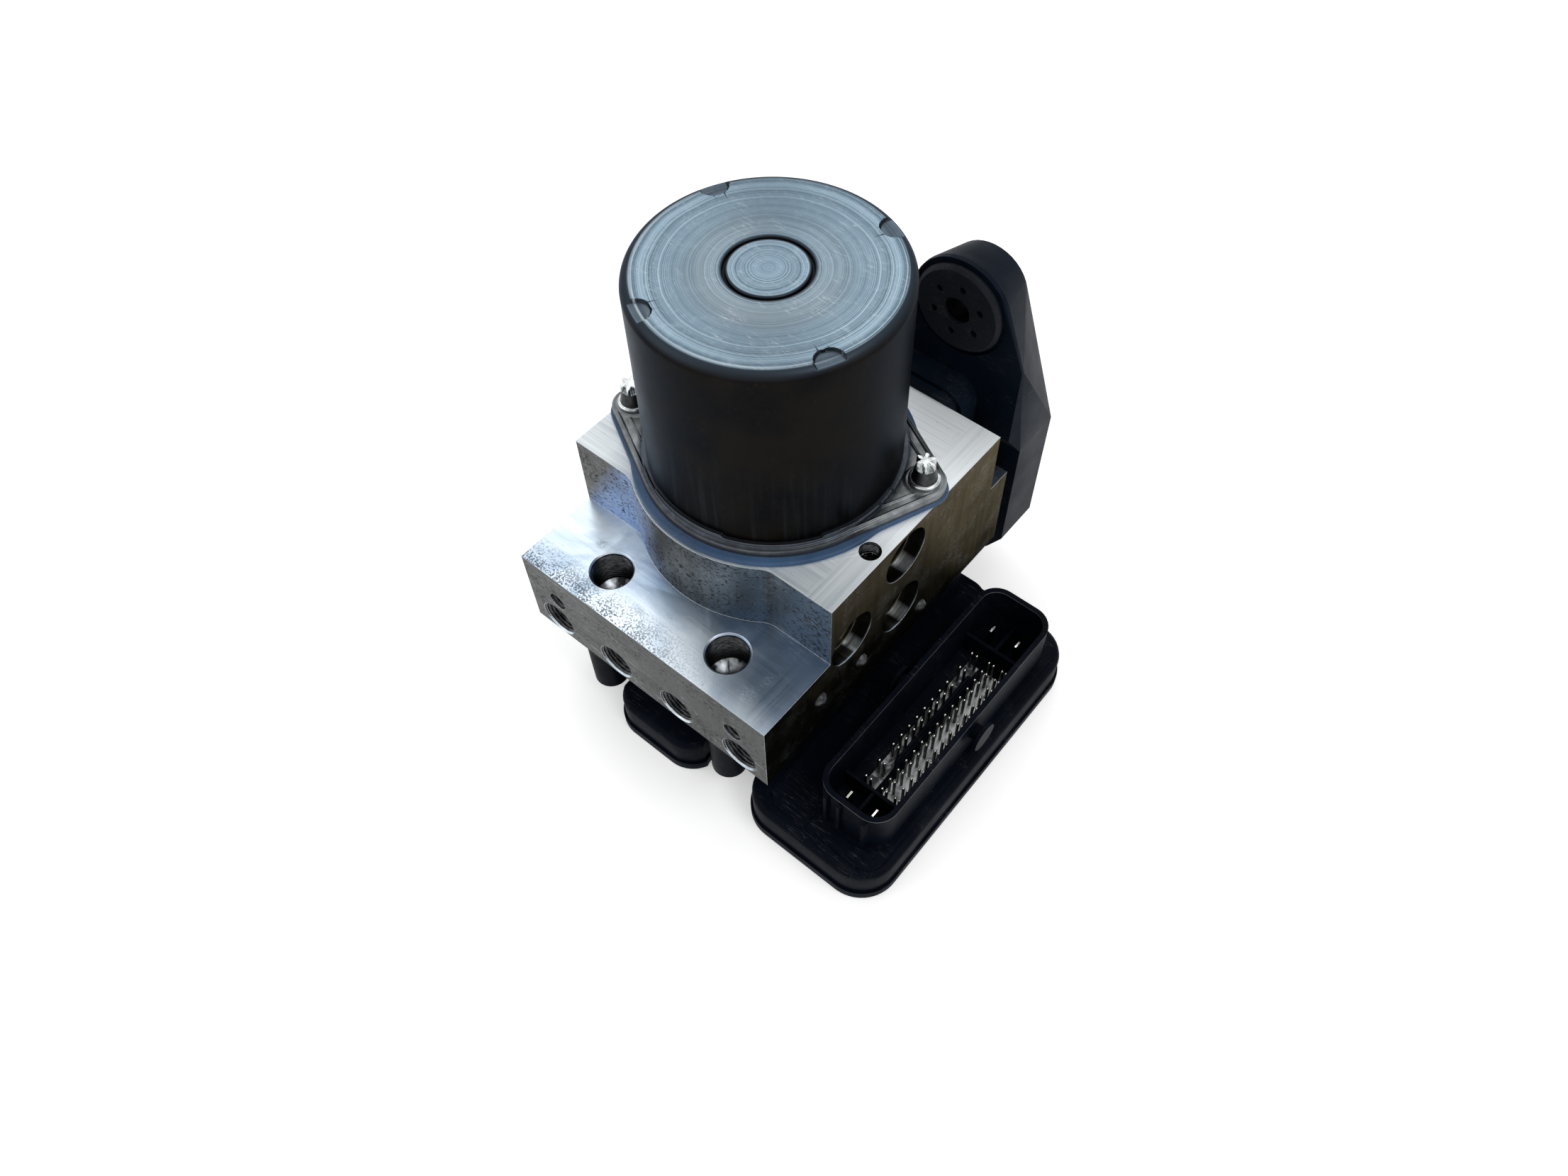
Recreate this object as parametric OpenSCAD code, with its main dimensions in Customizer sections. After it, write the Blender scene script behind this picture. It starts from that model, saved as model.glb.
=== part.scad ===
// Anti-lock brake control unit: a pump motor on a machined valve block, with the
// control box beneath it and a cast bracket behind it.
// The motor axis is X = Y = 0, +Z runs up it, and Z = 0 is the control box's bottom.
// The port face looks along -Y and the wiring connector stands on the +X side.

/* [Valve block] */
// Width of the valve block
block_w = 96; // [95:1:100]
// Height of the valve block
block_h = 57.5; // [57:0.5:60]
// Motor axis to the rear face of the block
block_back = 45; // [44.5:0.5:47]
// Motor axis to the flat upper front wall
wall_y = 34; // [33.5:0.5:36]
// Motor axis to the face with the wheel ports
port_y = 63; // [62:1:66]
// Drop from the motor face to the port step
step_drop = 26.5; // [26:0.5:28]
// How far the wall's bulge stands out beyond the motor can
bulge_over = 5.6; // [5:0.2:7]
// Radius of the hollow between the bulge and the flat wall
bulge_fillet = 8; // [5:1:10]
// Depth of the ledge behind the block
ledge_d = 9; // [8:1:12]
// Drop from the motor face to the ledge
ledge_drop = 24; // [22:1:26]

/* [Brake pipe ports] */
// Wall radius of the two master cylinder ports
master_r = 6.5; // [5.5:0.5:7]
// Depth of the two master cylinder ports
master_depth = 13; // [11:1:14]
// Distance of each master cylinder port from the centre
master_x = 23; // [21:1:25]
// Wall radius of the four wheel ports
wheel_r = 6; // [5:0.5:6]
// Depth of the four wheel ports
wheel_depth = 12; // [10:1:13]
// Spacing of the four wheel ports
wheel_pitch = 25; // [24:0.5:26]
// Radius of the fixing holes in the port face
fixing_r = 3.2; // [2.5:0.1:3.3]
// Distance of each fixing hole from the centre
fixing_x = 35.5; // [34:0.5:37]

/* [Pump] */
// Radius of the motor shaft
shaft_r = 5; // [4.5:0.5:5.5]
// Offset of each eccentric from the shaft axis
throw = 1.5; // [1:0.25:2]
// Outer radius of the bearing ring on each eccentric
ring_r = 11; // [10.5:0.25:11.5]
// Height of the bearing ring on each eccentric
ring_h = 9; // [8.5:0.25:10]
// Radius of the pump pistons
piston_r = 4; // [3.5:0.25:4]
// Length of the pump pistons
piston_l = 16; // [14:0.5:16]
// Drop from the motor face to the upper pistons
upper_pump_drop = 10.4; // [10.4:0.1:11]
// Spacing of the two piston levels
pump_pitch = 26.1; // [25:0.1:27]
// Radius of the round bays in the block's sides
bay_r = 9.2; // [8.8:0.1:9.4]
// Depth of the open part of each side bay
bay_depth = 4; // [3:0.5:5]
// Thickness of the plug in each pump bay
plug_t = 6.5; // [5:0.5:7]
// Stroke of the accumulator pistons
accumulator_stroke = 7; // [5:0.5:8]

/* [Motor] */
// Distance from the motor can to the sides of the block
can_side = 11; // [10:0.5:12]
// Height of the can's top above the block
can_top = 68; // [66:1:72]
// Wall of the motor can
can_wall = 2.2; // [2:0.2:2.8]
// Radius of the can's rounded top edge
can_round = 3.2; // [3:0.2:5]
// Thickness of the seal under the motor flange
seal_t = 1.8; // [1.4:0.2:2.2]
// Thickness of the motor flange
flange_t = 2.4; // [2:0.2:3]
// Angle of the motor bolts from the X axis
bolt_angle = 19.6; // [16:0.2:22]

/* [Control box] */
// Height of the control box under the block
box_h = 31.7; // [31:0.1:33]
// Thickness of the bottom cover
cover_t = 2.8; // [2.4:0.2:3.2]
// Height of the box's shelf above its bottom
shelf_z = 14; // [13.6:0.2:14.4]
// Motor axis to the front wall of the box
box_front = 64.8; // [64.4:0.2:66]
// Motor axis to the rear wall of the box
box_back = 46.2; // [45.8:0.2:46.6]
// Motor axis to the right wall of the box
box_right = 87.8; // [87.4:0.2:90]
// Motor axis to the left wall of the box
box_left = 44; // [43.8:0.2:46]
// Corner radius of the box's connector side
box_corner = 12; // [10:1:13]
// Wall of the box
box_wall = 2.2; // [1.8:0.2:2.4]

/* [Connector] */
// Length of the connector shroud
shroud_l = 92.3; // [91.5:0.1:93]
// Width of the connector shroud
shroud_w = 25.2; // [25:0.1:26]
// Height of the shroud's rim above the box's bottom
shroud_top = 32.7; // [31:0.1:35]
// Wall of the shroud
shroud_wall = 1.7; // [1.4:0.1:2]
// Number of signal pins in each of the four long columns
pin_count = 15; // [11:1:15]
// Spacing of the signal pins along a column
pin_pitch = 4.05; // [3.9:0.05:4.05]
// Radius of the signal pins
pin_r = 0.5; // [0.4:0.05:0.6]

/* [Bracket] */
// Distance of each rubber bush from the centre
bush_x = 22.5; // [21:0.5:24]
// Height of the bush centres above the block
bush_rise = 27.5; // [26:0.5:30]
// How much lower the left bush sits
bush_drop = 12; // [12:0.5:15]
// Radius of the bush's front disc
bush_r = 14.4; // [13.8:0.2:14.6]
// Radius of the hole through the bush's sleeve
bush_hole_r = 3.3; // [3.1:0.1:3.5]
// Gap between the block and the bracket's arm
arm_gap = 10; // [9.5:0.5:11]
// Depth of the bracket's skirt
skirt_d = 17.5; // [16:0.5:19]

/* [Hidden] */
$fn = 64;

run_gap = 0.03;      // radial clearance of a running fit
seat_gap = 0.02;     // radial clearance of pieces that are pressed together
free_gap = 0.3;      // gap between pieces that move past each other

// Levels
block_z0 = box_h;
block_z1 = block_z0 + block_h;
step_z = block_z1 - step_drop;
ledge_z = block_z1 - ledge_drop;
fixing_z = step_z - 13;
half_w = block_w / 2;
can_r = half_w - can_side;
bulge_r = can_r + bulge_over;
fixing_depth = 12;
top_fixing = [half_w - 4.5, -11.5];
top_fixing_depth = 5;
port_chamfer = 0.5;
flange_z0 = block_z1 + seal_t;
flange_z1 = flange_z0 + flange_t;
can_z1 = block_z1 + can_top;

// Pump
pump_z = [block_z1 - upper_pump_drop, block_z1 - upper_pump_drop - pump_pitch];
throw_dir = [1, -1];
eccentric_r = ring_r - 3;
chamber_r = ring_r + throw + 0.7;
chamber_z0 = pump_z[1] - ring_h / 2 - 1.5;
end_bearing_r = shaft_r + 3;
end_bearing_h = 8;
piston_x0 = ring_r + 2 * throw + free_gap;
piston_x1 = piston_x0 + piston_l;
plug_x1 = half_w - bay_depth;
plug_x0 = plug_x1 - plug_t;
bay_skin = 0.6;
accumulator_y = -(wall_y - bay_r - bay_skin);
accumulator_z = block_z1 - 25;
accumulator_piston_l = 7;
cup_floor = 3;
spring_solid_l = 9.1;
cap_t = 4.5;
cap_x0 = plug_x1 - cap_t;
cap_x1 = plug_x1;
accumulator_x1 = cap_x0 - spring_solid_l - accumulator_stroke - cup_floor;
accumulator_x0 = accumulator_x1 - 0.4;

// Round holes in each side, closed by balls: distance along Y, then height in the block
ball_holes = [[10.8, 8.8], [-19.2, 14.4], [-38.5, 17.5]];
ball_r = 2.5;

// Solenoid valves: columns along X, rows along Y
valve_x = [-33, -11.5, 11.5, 33];
inlet_y = -30;
outlet_y = 18.5;
circuit_y = 35.5;
valve_r = 4.5;
valve_depth = 12;
stem_r = 3.4;
coil_r = 8;
coil_h = 12.6;
sensor_y = -42;

// Motor
notch_angle = 64.3;
notch_x = can_r - 1.9;
notch_r = 3.9;
notch_depth = 0.8;
groove_r = 10.6;
groove_w = 1.2;
foot_r = can_r + 1.5;
foot_h = 0.7;
tab_h = 1.6;
tab_angle = 39;
tab_turns = [88.5, 169.5, 268.5, 349.5];
cup_r = 13;
cup_wall = 1.8;
lower_bearing_h = 6.5;
lower_bearing_z = flange_z1 - 1 - lower_bearing_h;
upper_bearing_r = 11;
upper_bearing_h = 7;
upper_bearing_z = can_z1 - can_wall - upper_bearing_h;
core_r = can_r - can_wall - 6;
magnet_r = core_r + 0.7;
magnet_over = 2;
core_z0 = flange_z1 + 18.4;
core_z1 = can_z1 - 13.2;
commutator_r = 12;
commutator_h = 9.6;
commutator_z = flange_z1 + 2.8;
plate_t = 2.2;
brush_z = commutator_z + commutator_h / 2;
contact_y = can_r - can_wall - 4.8;
contact_r = 3.4;
bolt_in = 6;         // from the block's side to each motor bolt
bolt_d = (half_w - bolt_in) / cos(bolt_angle);
bolt_points = [for (a = [0, 180]) [bolt_d * cos(bolt_angle + a), bolt_d * sin(bolt_angle + a)]];
ear_r = 6.4;
seal_in_r = can_r - 2;
seal_out_r = can_r + 5;
seal_ear = 0.9;       // the seal's rim beyond the flange's ears
bolt_r = 2.9;

// Control box
lip = 0.8;
side_front = 48;     // motor axis to the front wall beside the tongue
side_lap = 20;       // overlap of the box's left part with its connector side
side_corner = 8;
chamber_front = 52;
tongue_half = 18.5;
tongue_corner = 10;
conn_left = 36;
board_z = 7;
board_t = 1.6;
roof_t = 2.4;
gasket_t = 0.8;
screw_bay_r = 9;
boss_r = [5.7, 5.7, 4.6, 4.6];
boss_z0 = 9.2;
screw_r = 2.7;
screw_points = [[-26, -56.5], [26, -56.5], [-23, box_back + 3.4], [23, box_back + 3.4]];
screw_top = block_z0 + 11;

// Connector
shroud_cx = box_right - 4.9 - shroud_w / 2;
shroud_cy = -8;
plateau_z = shelf_z + 1.4;
low_plateau_z = plateau_z - 0.8;
floor_z = 12;
floor_t = 2.4;
partition_z = 20;
partition_dy = 32;
shroud_rib_x = [shroud_cx - 6.8, shroud_cx - 2, shroud_cx + 7.1];
long_columns = [shroud_cx + 1.7, shroud_cx + 3.4, shroud_cx + 6.7, shroud_cx + 8.1];
short_columns = [shroud_cx - 4.7, shroud_cx - 2.8];
long_steps = [for (i = [0:pin_count - 1]) i - (pin_count - 1) / 2];
short_steps = [-6.9, -5.25, -3.5, -2.5, -1.5, -0.5, 0.5, 1.5, 2.5, 3.5, 5.25, 6.9];
pins_cy = shroud_cy - 2;
pin_gap = 0.03;
mat_t = 0.8;
pin_tip = 21.5;
key_l = 39;
key_h = 7;
key_w = 2;
key_wall = 0.7;
key_x = shroud_cx - 1.6;
blade_tip = 21;

// Bracket
arm_y = block_back + arm_gap;
bush_z = block_z1 + bush_rise;
bush_face_hole_r = 4.4;
sleeve_r = bush_hole_r + 1.8;
bushes = [[bush_x, bush_z], [-bush_x, bush_z - bush_drop]];
bush_y0 = arm_y - 0.9;
boss_y0 = arm_y + 1.3;
boss_y1 = arm_y + 16;
boss_front_r = bush_r + 1.8;
boss_back_r = 12.8;
bush_body_r = 10.4;
arm_half = half_w - 2;
arm_z0 = block_z1 - 12.5;
arm_z1 = block_z1 + 16.5;
skirt_y = arm_y + 5;
skirt_back = skirt_y + skirt_d;
skirt_z0 = 14.5;
skirt_z1 = block_z1 - 19;
pad_half = 33;
bracket_bolt_x = 24;
bracket_bolt_z = block_z1 - 12.2;
bracket_bolt_r = 3.9;
bracket_bolt_in = 13.5;
bracket_head_y = arm_y + 5;
bracket_head_h = 6.5;
bracket_head_r = 7;

// Rectangle with round corners
module round_rect(x0, y0, x1, y1, r) {
    translate([x0 + r, y0]) square([x1 - x0 - 2 * r, y1 - y0]);
    translate([x0, y0 + r]) square([x1 - x0, y1 - y0 - 2 * r]);
    for (x = [x0 + r, x1 - r], y = [y0 + r, y1 - r]) translate([x, y]) circle(r = r);
}

// Slab with round corners whose upper edge is rounded off
module soft_slab(x0, y0, x1, y1, r, z0, z1, edge) {
    hull() {
        translate([0, 0, z0]) linear_extrude(z1 - z0 - edge) round_rect(x0, y0, x1, y1, r, $fn = 40);
        for (a = [30, 60, 90]) {
            in = edge * (1 - cos(a));
            translate([0, 0, z1 - edge]) linear_extrude(edge * sin(a))
                round_rect(x0 + in, y0 + in, x1 - in, y1 - in, r - in, $fn = 40);
        }
    }
}

// Cylinder along X from x0 to x1
module rod_x(x0, x1, y, z, r) {
    translate([x0, y, z]) rotate([0, 90, 0]) cylinder(r = r, h = x1 - x0);
}

// Cylinder along Y from y0 to y1
module rod_y(x, y0, y1, z, r) {
    translate([x, y0, z]) rotate([-90, 0, 0]) cylinder(r = r, h = y1 - y0);
}

// Cylinder along Z from z0 to z1
module rod_z(x, y, z0, z1, r) {
    translate([x, y, z0]) cylinder(r = r, h = z1 - z0);
}

// Outline in X and Z, extruded along Y
module extrude_y(y0, y1) {
    translate([0, y1, 0]) rotate([90, 0, 0]) linear_extrude(y1 - y0) children();
}

// Helical spring along Z, from 0 to its length
module spring(coil_r, wire_r, length, turns) {
    sides = 5;
    steps = turns * 10;
    points = [for (i = [0:steps]) let (a = i * 36, z = wire_r + (length - 2 * wire_r) * i / steps)
        for (j = [0:sides - 1]) let (b = j * 360 / sides, q = coil_r + wire_r * cos(b))
            [q * cos(a), q * sin(a), z + wire_r * sin(b)]];
    walls = [for (i = [0:steps - 1], j = [0:sides - 1])
        let (a = i * sides + j, b = i * sides + (j + 1) % sides)
            each [[a, a + sides, b + sides], [a, b + sides, b]]];
    ends = [[for (j = [0:sides - 1]) j], [for (j = [sides - 1:-1:0]) steps * sides + j]];
    polyhedron(points, concat(walls, ends), convexity = 6);
}

// Plan of the block's upper part, with the wall's bulge round the motor
module upper_plan() {
    reach = bulge_fillet - 0.03;
    fx = sqrt(pow(bulge_r + reach, 2) - pow(wall_y + reach, 2));
    fy = -wall_y - reach;
    k = (bulge_r - 0.5) / (bulge_r + reach);
    difference() {
        union() {
            translate([-half_w, -wall_y]) square([block_w, wall_y + block_back]);
            intersection() {
                circle(r = bulge_r, $fn = 128);
                translate([-fx, -bulge_r - 1]) square([2 * fx, bulge_r + 1]);
            }
            polygon([[-fx, -wall_y], [-fx, fy], [-fx * k, fy * k],
                [fx * k, fy * k], [fx, fy], [fx, -wall_y]]);
        }
        for (s = [-1, 1]) translate([s * fx, fy]) circle(r = bulge_fillet);
    }
}

// One threaded pipe port along Z, downwards from the origin, with its drill point
module pipe_port(r, depth) {
    translate([0, 0, -depth]) cylinder(r = r, h = depth + 1);
    translate([0, 0, -port_chamfer]) cylinder(r1 = r, r2 = r + 2 * port_chamfer, h = 2 * port_chamfer);
    translate([0, 0, -depth - r * 0.4]) cylinder(r1 = r * 0.35, r2 = r, h = r * 0.4);
    translate([0, 0, -depth - r * 0.4 - 1.5]) cylinder(r = r * 0.35, h = 2);
}

module wheel_ports() {
    for (i = [-1.5:1:1.5]) translate([i * wheel_pitch, -port_y, block_z0 + wheel_r + 0.6])
        rotate([90, 0, 0]) pipe_port(wheel_r, wheel_depth);
}

module master_ports() {
    for (s = [-1, 1]) translate([s * master_x, -port_y + 13.5, step_z]) pipe_port(master_r, master_depth);
}

module pump_cavities() {
    rod_z(0, 0, chamber_z0, block_z1 + 1, chamber_r);
    rod_z(0, 0, lower_bearing_z - cup_wall, block_z1 + 1, cup_r + cup_wall + 0.2);
    rod_z(0, 0, chamber_z0 - end_bearing_h - 1, chamber_z0 + 1, end_bearing_r + seat_gap);
    for (s = [0, 180]) rotate([0, 0, s]) for (z = pump_z) {
        rod_x(chamber_r - 2, plug_x0, 0, z, piston_r + run_gap);
        rod_x(piston_x1 + 0.7, plug_x0 + 1, 0, z, piston_r + 1.6);
        rod_x(plug_x0, half_w + 1, 0, z, bay_r);
    }
}

module side_cavities() {
    for (s = [0, 1]) mirror([s, 0, 0]) {
        rod_x(accumulator_x0, half_w + 1, accumulator_y, accumulator_z, bay_r);
        for (p = ball_holes) {
            rod_x(half_w - 26, half_w, p[0], block_z0 + p[1], 1.6);
            rod_x(half_w - 3, half_w + 1, p[0], block_z0 + p[1], ball_r + seat_gap);
        }
        rod_y(fixing_x, -port_y - 1, -port_y + fixing_depth, fixing_z, fixing_r);
        rod_y(bracket_bolt_x, block_back - bracket_bolt_in - 0.5, block_back + 1, bracket_bolt_z,
            bracket_bolt_r + seat_gap);
    }
}

module valve_cavities() {
    for (x = valve_x, y = [inlet_y, outlet_y, circuit_y])
        rod_z(x, y, block_z0 - 1, block_z0 + valve_depth + 0.5, valve_r + seat_gap);
    rod_z(0, sensor_y, block_z0 - 1, block_z0 + valve_depth + 0.5, valve_r + seat_gap);
    rod_z(0, contact_y, block_z0 - 1, block_z1 + 1, contact_r + 0.2);
}

module valve_block() {
    color("gainsboro") difference() {
        union() {
            translate([0, 0, block_z0]) linear_extrude(block_h) upper_plan();
            translate([-half_w, -port_y, block_z0]) cube([block_w, port_y, step_z - block_z0]);
            translate([-half_w, 0, block_z0]) cube([block_w, block_back + ledge_d, ledge_z - block_z0]);
        }
        wheel_ports();
        master_ports();
        pump_cavities();
        side_cavities();
        valve_cavities();
        rod_z(top_fixing[0], top_fixing[1], block_z1 - top_fixing_depth, block_z1 + 1, fixing_r);
        for (p = screw_points) rod_z(p[0], p[1], block_z0 - 1, screw_top + 0.5, screw_r + seat_gap);
        for (p = bolt_points) rod_z(p[0], p[1], block_z1 - 15, block_z1 + 1, bolt_r + seat_gap);
    }
}

module ball_plugs() {
    color("silver") for (s = [0, 1]) mirror([s, 0, 0]) for (p = ball_holes)
        translate([half_w - 3 + ball_r, p[0], block_z0 + p[1]]) sphere(r = ball_r);
}

module pump_plugs() {
    color("silver") for (s = [0, 180]) rotate([0, 0, s]) for (z = pump_z) difference() {
        rod_x(plug_x0, plug_x1, 0, z, bay_r - seat_gap);
        rod_x(plug_x1 - 1.6, plug_x1 + 1, 0, z, bay_r - 2.6);
    }
}

module accumulator_caps() {
    color("silver") for (s = [0, 1]) mirror([s, 0, 0]) difference() {
        rod_x(cap_x0, cap_x1, accumulator_y, accumulator_z, bay_r - seat_gap);
        rod_x(cap_x1 - 1.4, cap_x1 + 1, accumulator_y, accumulator_z, bay_r - 2.2);
    }
}

// Cup-shaped piston, open towards its spring
module accumulator_piston_right() {
    color("darkgray") difference() {
        rod_x(accumulator_x1, accumulator_x1 + accumulator_piston_l,
            accumulator_y, accumulator_z, bay_r - run_gap);
        rod_x(accumulator_x1 + cup_floor, accumulator_x1 + accumulator_piston_l + 1,
            accumulator_y, accumulator_z, bay_r - 2.4);
    }
}
module accumulator_piston_left() { mirror([1, 0, 0]) accumulator_piston_right(); }

module accumulator_spring_right() {
    color("dimgray") translate([accumulator_x1 + cup_floor, accumulator_y, accumulator_z]) rotate([0, 90, 0])
        spring(bay_r - 4.2, 0.8, cap_x0 - accumulator_x1 - cup_floor, 5);
}
module accumulator_spring_left() { mirror([1, 0, 0]) accumulator_spring_right(); }

// Pump piston with its reduced tail that carries the spring
module pump_piston(z) {
    color("silver") difference() {
        rod_x(piston_x0, piston_x1, 0, z, piston_r);
        rod_x(piston_x1 - 3, piston_x1 + 1, 0, z, 2);
    }
}
module pump_piston_upper_right() { pump_piston(pump_z[0]); }
module pump_piston_upper_left() { rotate([0, 0, 180]) pump_piston(pump_z[0]); }
module pump_piston_lower_right() { pump_piston(pump_z[1]); }
module pump_piston_lower_left() { rotate([0, 0, 180]) pump_piston(pump_z[1]); }

module pump_spring(z) {
    color("dimgray") translate([piston_x1, 0, z]) rotate([0, 90, 0])
        spring(2.9, 0.5, plug_x0 - piston_x1, 3);
}
module pump_spring_upper_right() { pump_spring(pump_z[0]); }
module pump_spring_upper_left() { rotate([0, 0, 180]) pump_spring(pump_z[0]); }
module pump_spring_lower_right() { pump_spring(pump_z[1]); }
module pump_spring_lower_left() { rotate([0, 0, 180]) pump_spring(pump_z[1]); }

// Section of the drawn can: wall, rounded shoulder and bearing pocket
module can_section() {
    difference() {
        union() {
            translate([0, flange_z1]) square([can_r, can_z1 - can_round - flange_z1]);
            translate([0, can_z1 - can_round - 1]) square([can_r - can_round, can_round + 1]);
            translate([can_r - can_round, can_z1 - can_round]) circle(r = can_round);
        }
        translate([-1, flange_z1 - 1])
            square([can_r - can_wall + 1, can_z1 - can_wall - flange_z1 + 1]);
        translate([groove_r, can_z1 - 1]) square([groove_w, 2]);
    }
    translate([upper_bearing_r + seat_gap, upper_bearing_z]) square([1.8, upper_bearing_h + 1]);
}

module motor_can() {
    color("slategray") difference() {
        rotate_extrude($fn = 128) can_section();
        for (a = [0:90:270]) rotate([0, 0, a + notch_angle])
            rod_z(notch_x, 0, can_z1 - notch_depth, can_z1 + 1, notch_r);
    }
}

// Plan of the flange: a disc with two ears drawn out to the bolts
module flange_plan(r, ear) {
    a = acos((r - ear) / bolt_d);
    r0 = r - 0.3;
    r1 = ear - 0.3;
    circle(r = r, $fn = 128);
    for (s = [0, 180]) rotate([0, 0, bolt_angle + s]) {
        polygon([[r0 * cos(a), r0 * sin(a)], [bolt_d + r1 * cos(a), r1 * sin(a)],
            [bolt_d + r1 * cos(a), -r1 * sin(a)], [r0 * cos(a), -r0 * sin(a)]]);
        translate([bolt_d, 0]) circle(r = ear);
    }
}

module motor_flange() {
    color("slategray") difference() {
        union() {
            translate([0, 0, flange_z0]) linear_extrude(flange_t) flange_plan(can_r + 2.6, ear_r);
            rod_z(0, 0, lower_bearing_z - cup_wall, flange_z0 + 1, cup_r + cup_wall);
            for (p = bolt_points) rod_z(p[0], p[1], block_z1, flange_z0 + 1, ear_r - 0.4);
            rod_z(0, 0, flange_z1 - 1, flange_z1 + foot_h, foot_r, $fn = 128);
            for (a = tab_turns) rotate([0, 0, a - tab_angle / 2])
                translate([0, 0, flange_z1 - 1]) rotate_extrude(angle = tab_angle, $fn = 128)
                    translate([can_r - 1, 0]) square([foot_r - can_r + 0.6, tab_h + 1]);
        }
        rod_z(0, 0, flange_z1, flange_z1 + 3, can_r + seat_gap, $fn = 128);
        rod_z(0, 0, lower_bearing_z, flange_z1 + 1, cup_r + seat_gap);
        rod_z(0, 0, lower_bearing_z - cup_wall - 1, flange_z1, cup_r - 3);
        rod_z(0, contact_y, flange_z0 - 1, flange_z1 + 1, contact_r + 0.2);
        for (p = bolt_points) rod_z(p[0], p[1], block_z1 - 1, flange_z1 + 1, bolt_r + 0.3);
    }
}

module motor_seal() {
    color("lightsteelblue") translate([0, 0, block_z1]) linear_extrude(seal_t) difference() {
        union() {
            circle(r = seal_out_r, $fn = 128);
            for (p = bolt_points) translate(p) circle(r = ear_r + seal_ear);
        }
        circle(r = seal_in_r, $fn = 128);
        for (p = bolt_points) translate(p) circle(r = ear_r + 0.1);
    }
}

// Bolt with a washer face, a round shank and a six-lobed head
module motor_bolts() {
    color("silver") for (p = bolt_points) translate([p[0], p[1], flange_z1]) {
        translate([0, 0, -flange_t - seal_t - 14]) cylinder(r = bolt_r, h = flange_t + seal_t + 14.5);
        cylinder(r = 4.75, h = 1.3);
        cylinder(r = 3.5, h = 5.5);
        translate([0, 0, 5]) linear_extrude(3.2) {
            circle(r = 2.7);
            for (a = [0:60:300]) rotate([0, 0, a]) translate([2.7, 0]) circle(r = 0.95);
        }
    }
}

module field_magnets() {
    color("dimgray") for (a = [0:90:270]) rotate([0, 0, a - 35]) translate([0, 0, core_z0 - magnet_over])
        rotate_extrude(angle = 70, $fn = 128)
            translate([magnet_r, 0])
                square([can_r - can_wall - seat_gap - magnet_r, core_z1 - core_z0 + 2 * magnet_over]);
}

// Stepped shaft with two eccentrics set opposite each other
module motor_shaft() {
    color("lightgray") {
        rod_z(0, 0, chamber_z0 - end_bearing_h, lower_bearing_z, shaft_r);
        rod_z(0, 0, lower_bearing_z, upper_bearing_z, shaft_r);
        rod_z(0, 0, upper_bearing_z, upper_bearing_z + upper_bearing_h - 0.5, shaft_r - 1);
        for (i = [0, 1])
            rod_z(0, throw * throw_dir[i], pump_z[i] - ring_h / 2, pump_z[i] + ring_h / 2, eccentric_r);
    }
}

module eccentric_rings() {
    color("silver") for (i = [0, 1]) translate([0, throw * throw_dir[i], pump_z[i] - ring_h / 2])
        difference() {
            cylinder(r = ring_r, h = ring_h);
            translate([0, 0, -1]) cylinder(r = eccentric_r + seat_gap, h = ring_h + 2);
        }
}

// Laminated core with open slots for the windings
module armature_core() {
    color("gray") translate([0, 0, core_z0]) linear_extrude(core_z1 - core_z0) difference() {
        circle(r = core_r, $fn = 128);
        circle(r = shaft_r + seat_gap);
        for (a = [0:30:330]) rotate([0, 0, a]) {
            translate([core_r - 9, 0]) circle(r = 3);
            translate([core_r - 9, -0.9]) square([12, 1.8]);
        }
    }
}

// Copper in the slots, joined by the end turns above and below the core
module armature_windings() {
    color("peru") {
        for (z = [core_z0 - 6, core_z1]) translate([0, 0, z]) rotate_extrude()
            round_rect(core_r - 14, 0, core_r - 3, 6, 2.2);
        for (a = [0:30:330]) rotate([0, 0, a])
            rod_z(core_r - 9, 0, core_z0 - 1, core_z1 + 1, 2.8);
    }
}

module commutator() {
    color("peru") translate([0, 0, commutator_z]) linear_extrude(commutator_h) difference() {
        circle(r = commutator_r);
        circle(r = shaft_r + seat_gap);
        for (a = [0:30:330]) rotate([0, 0, a + 15]) translate([commutator_r - 1.2, -0.3]) square([2, 0.6]);
    }
}

// Ball bearing as its two rings with the balls' cage between them
module ring_bearing(r_in, r_out, h) {
    difference() {
        cylinder(r = r_out, h = h);
        translate([0, 0, -1]) cylinder(r = r_in, h = h + 2);
        for (z = [-1, h - 0.6]) translate([0, 0, z]) difference() {
            cylinder(r = r_out - 1.8, h = 1.6);
            translate([0, 0, -1]) cylinder(r = r_in + 1.8, h = 4);
        }
    }
}

module upper_bearing() {
    color("silver") translate([0, 0, upper_bearing_z])
        ring_bearing(shaft_r - 1 + run_gap, upper_bearing_r, upper_bearing_h);
}

module lower_bearing() {
    color("silver") translate([0, 0, lower_bearing_z])
        ring_bearing(shaft_r + run_gap, cup_r, lower_bearing_h);
}

module end_bearing() {
    color("silver") translate([0, 0, chamber_z0 - end_bearing_h]) difference() {
        cylinder(r = end_bearing_r, h = end_bearing_h - 1);
        translate([0, 0, -1]) cylinder(r = shaft_r + run_gap, h = end_bearing_h + 2);
    }
}

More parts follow.
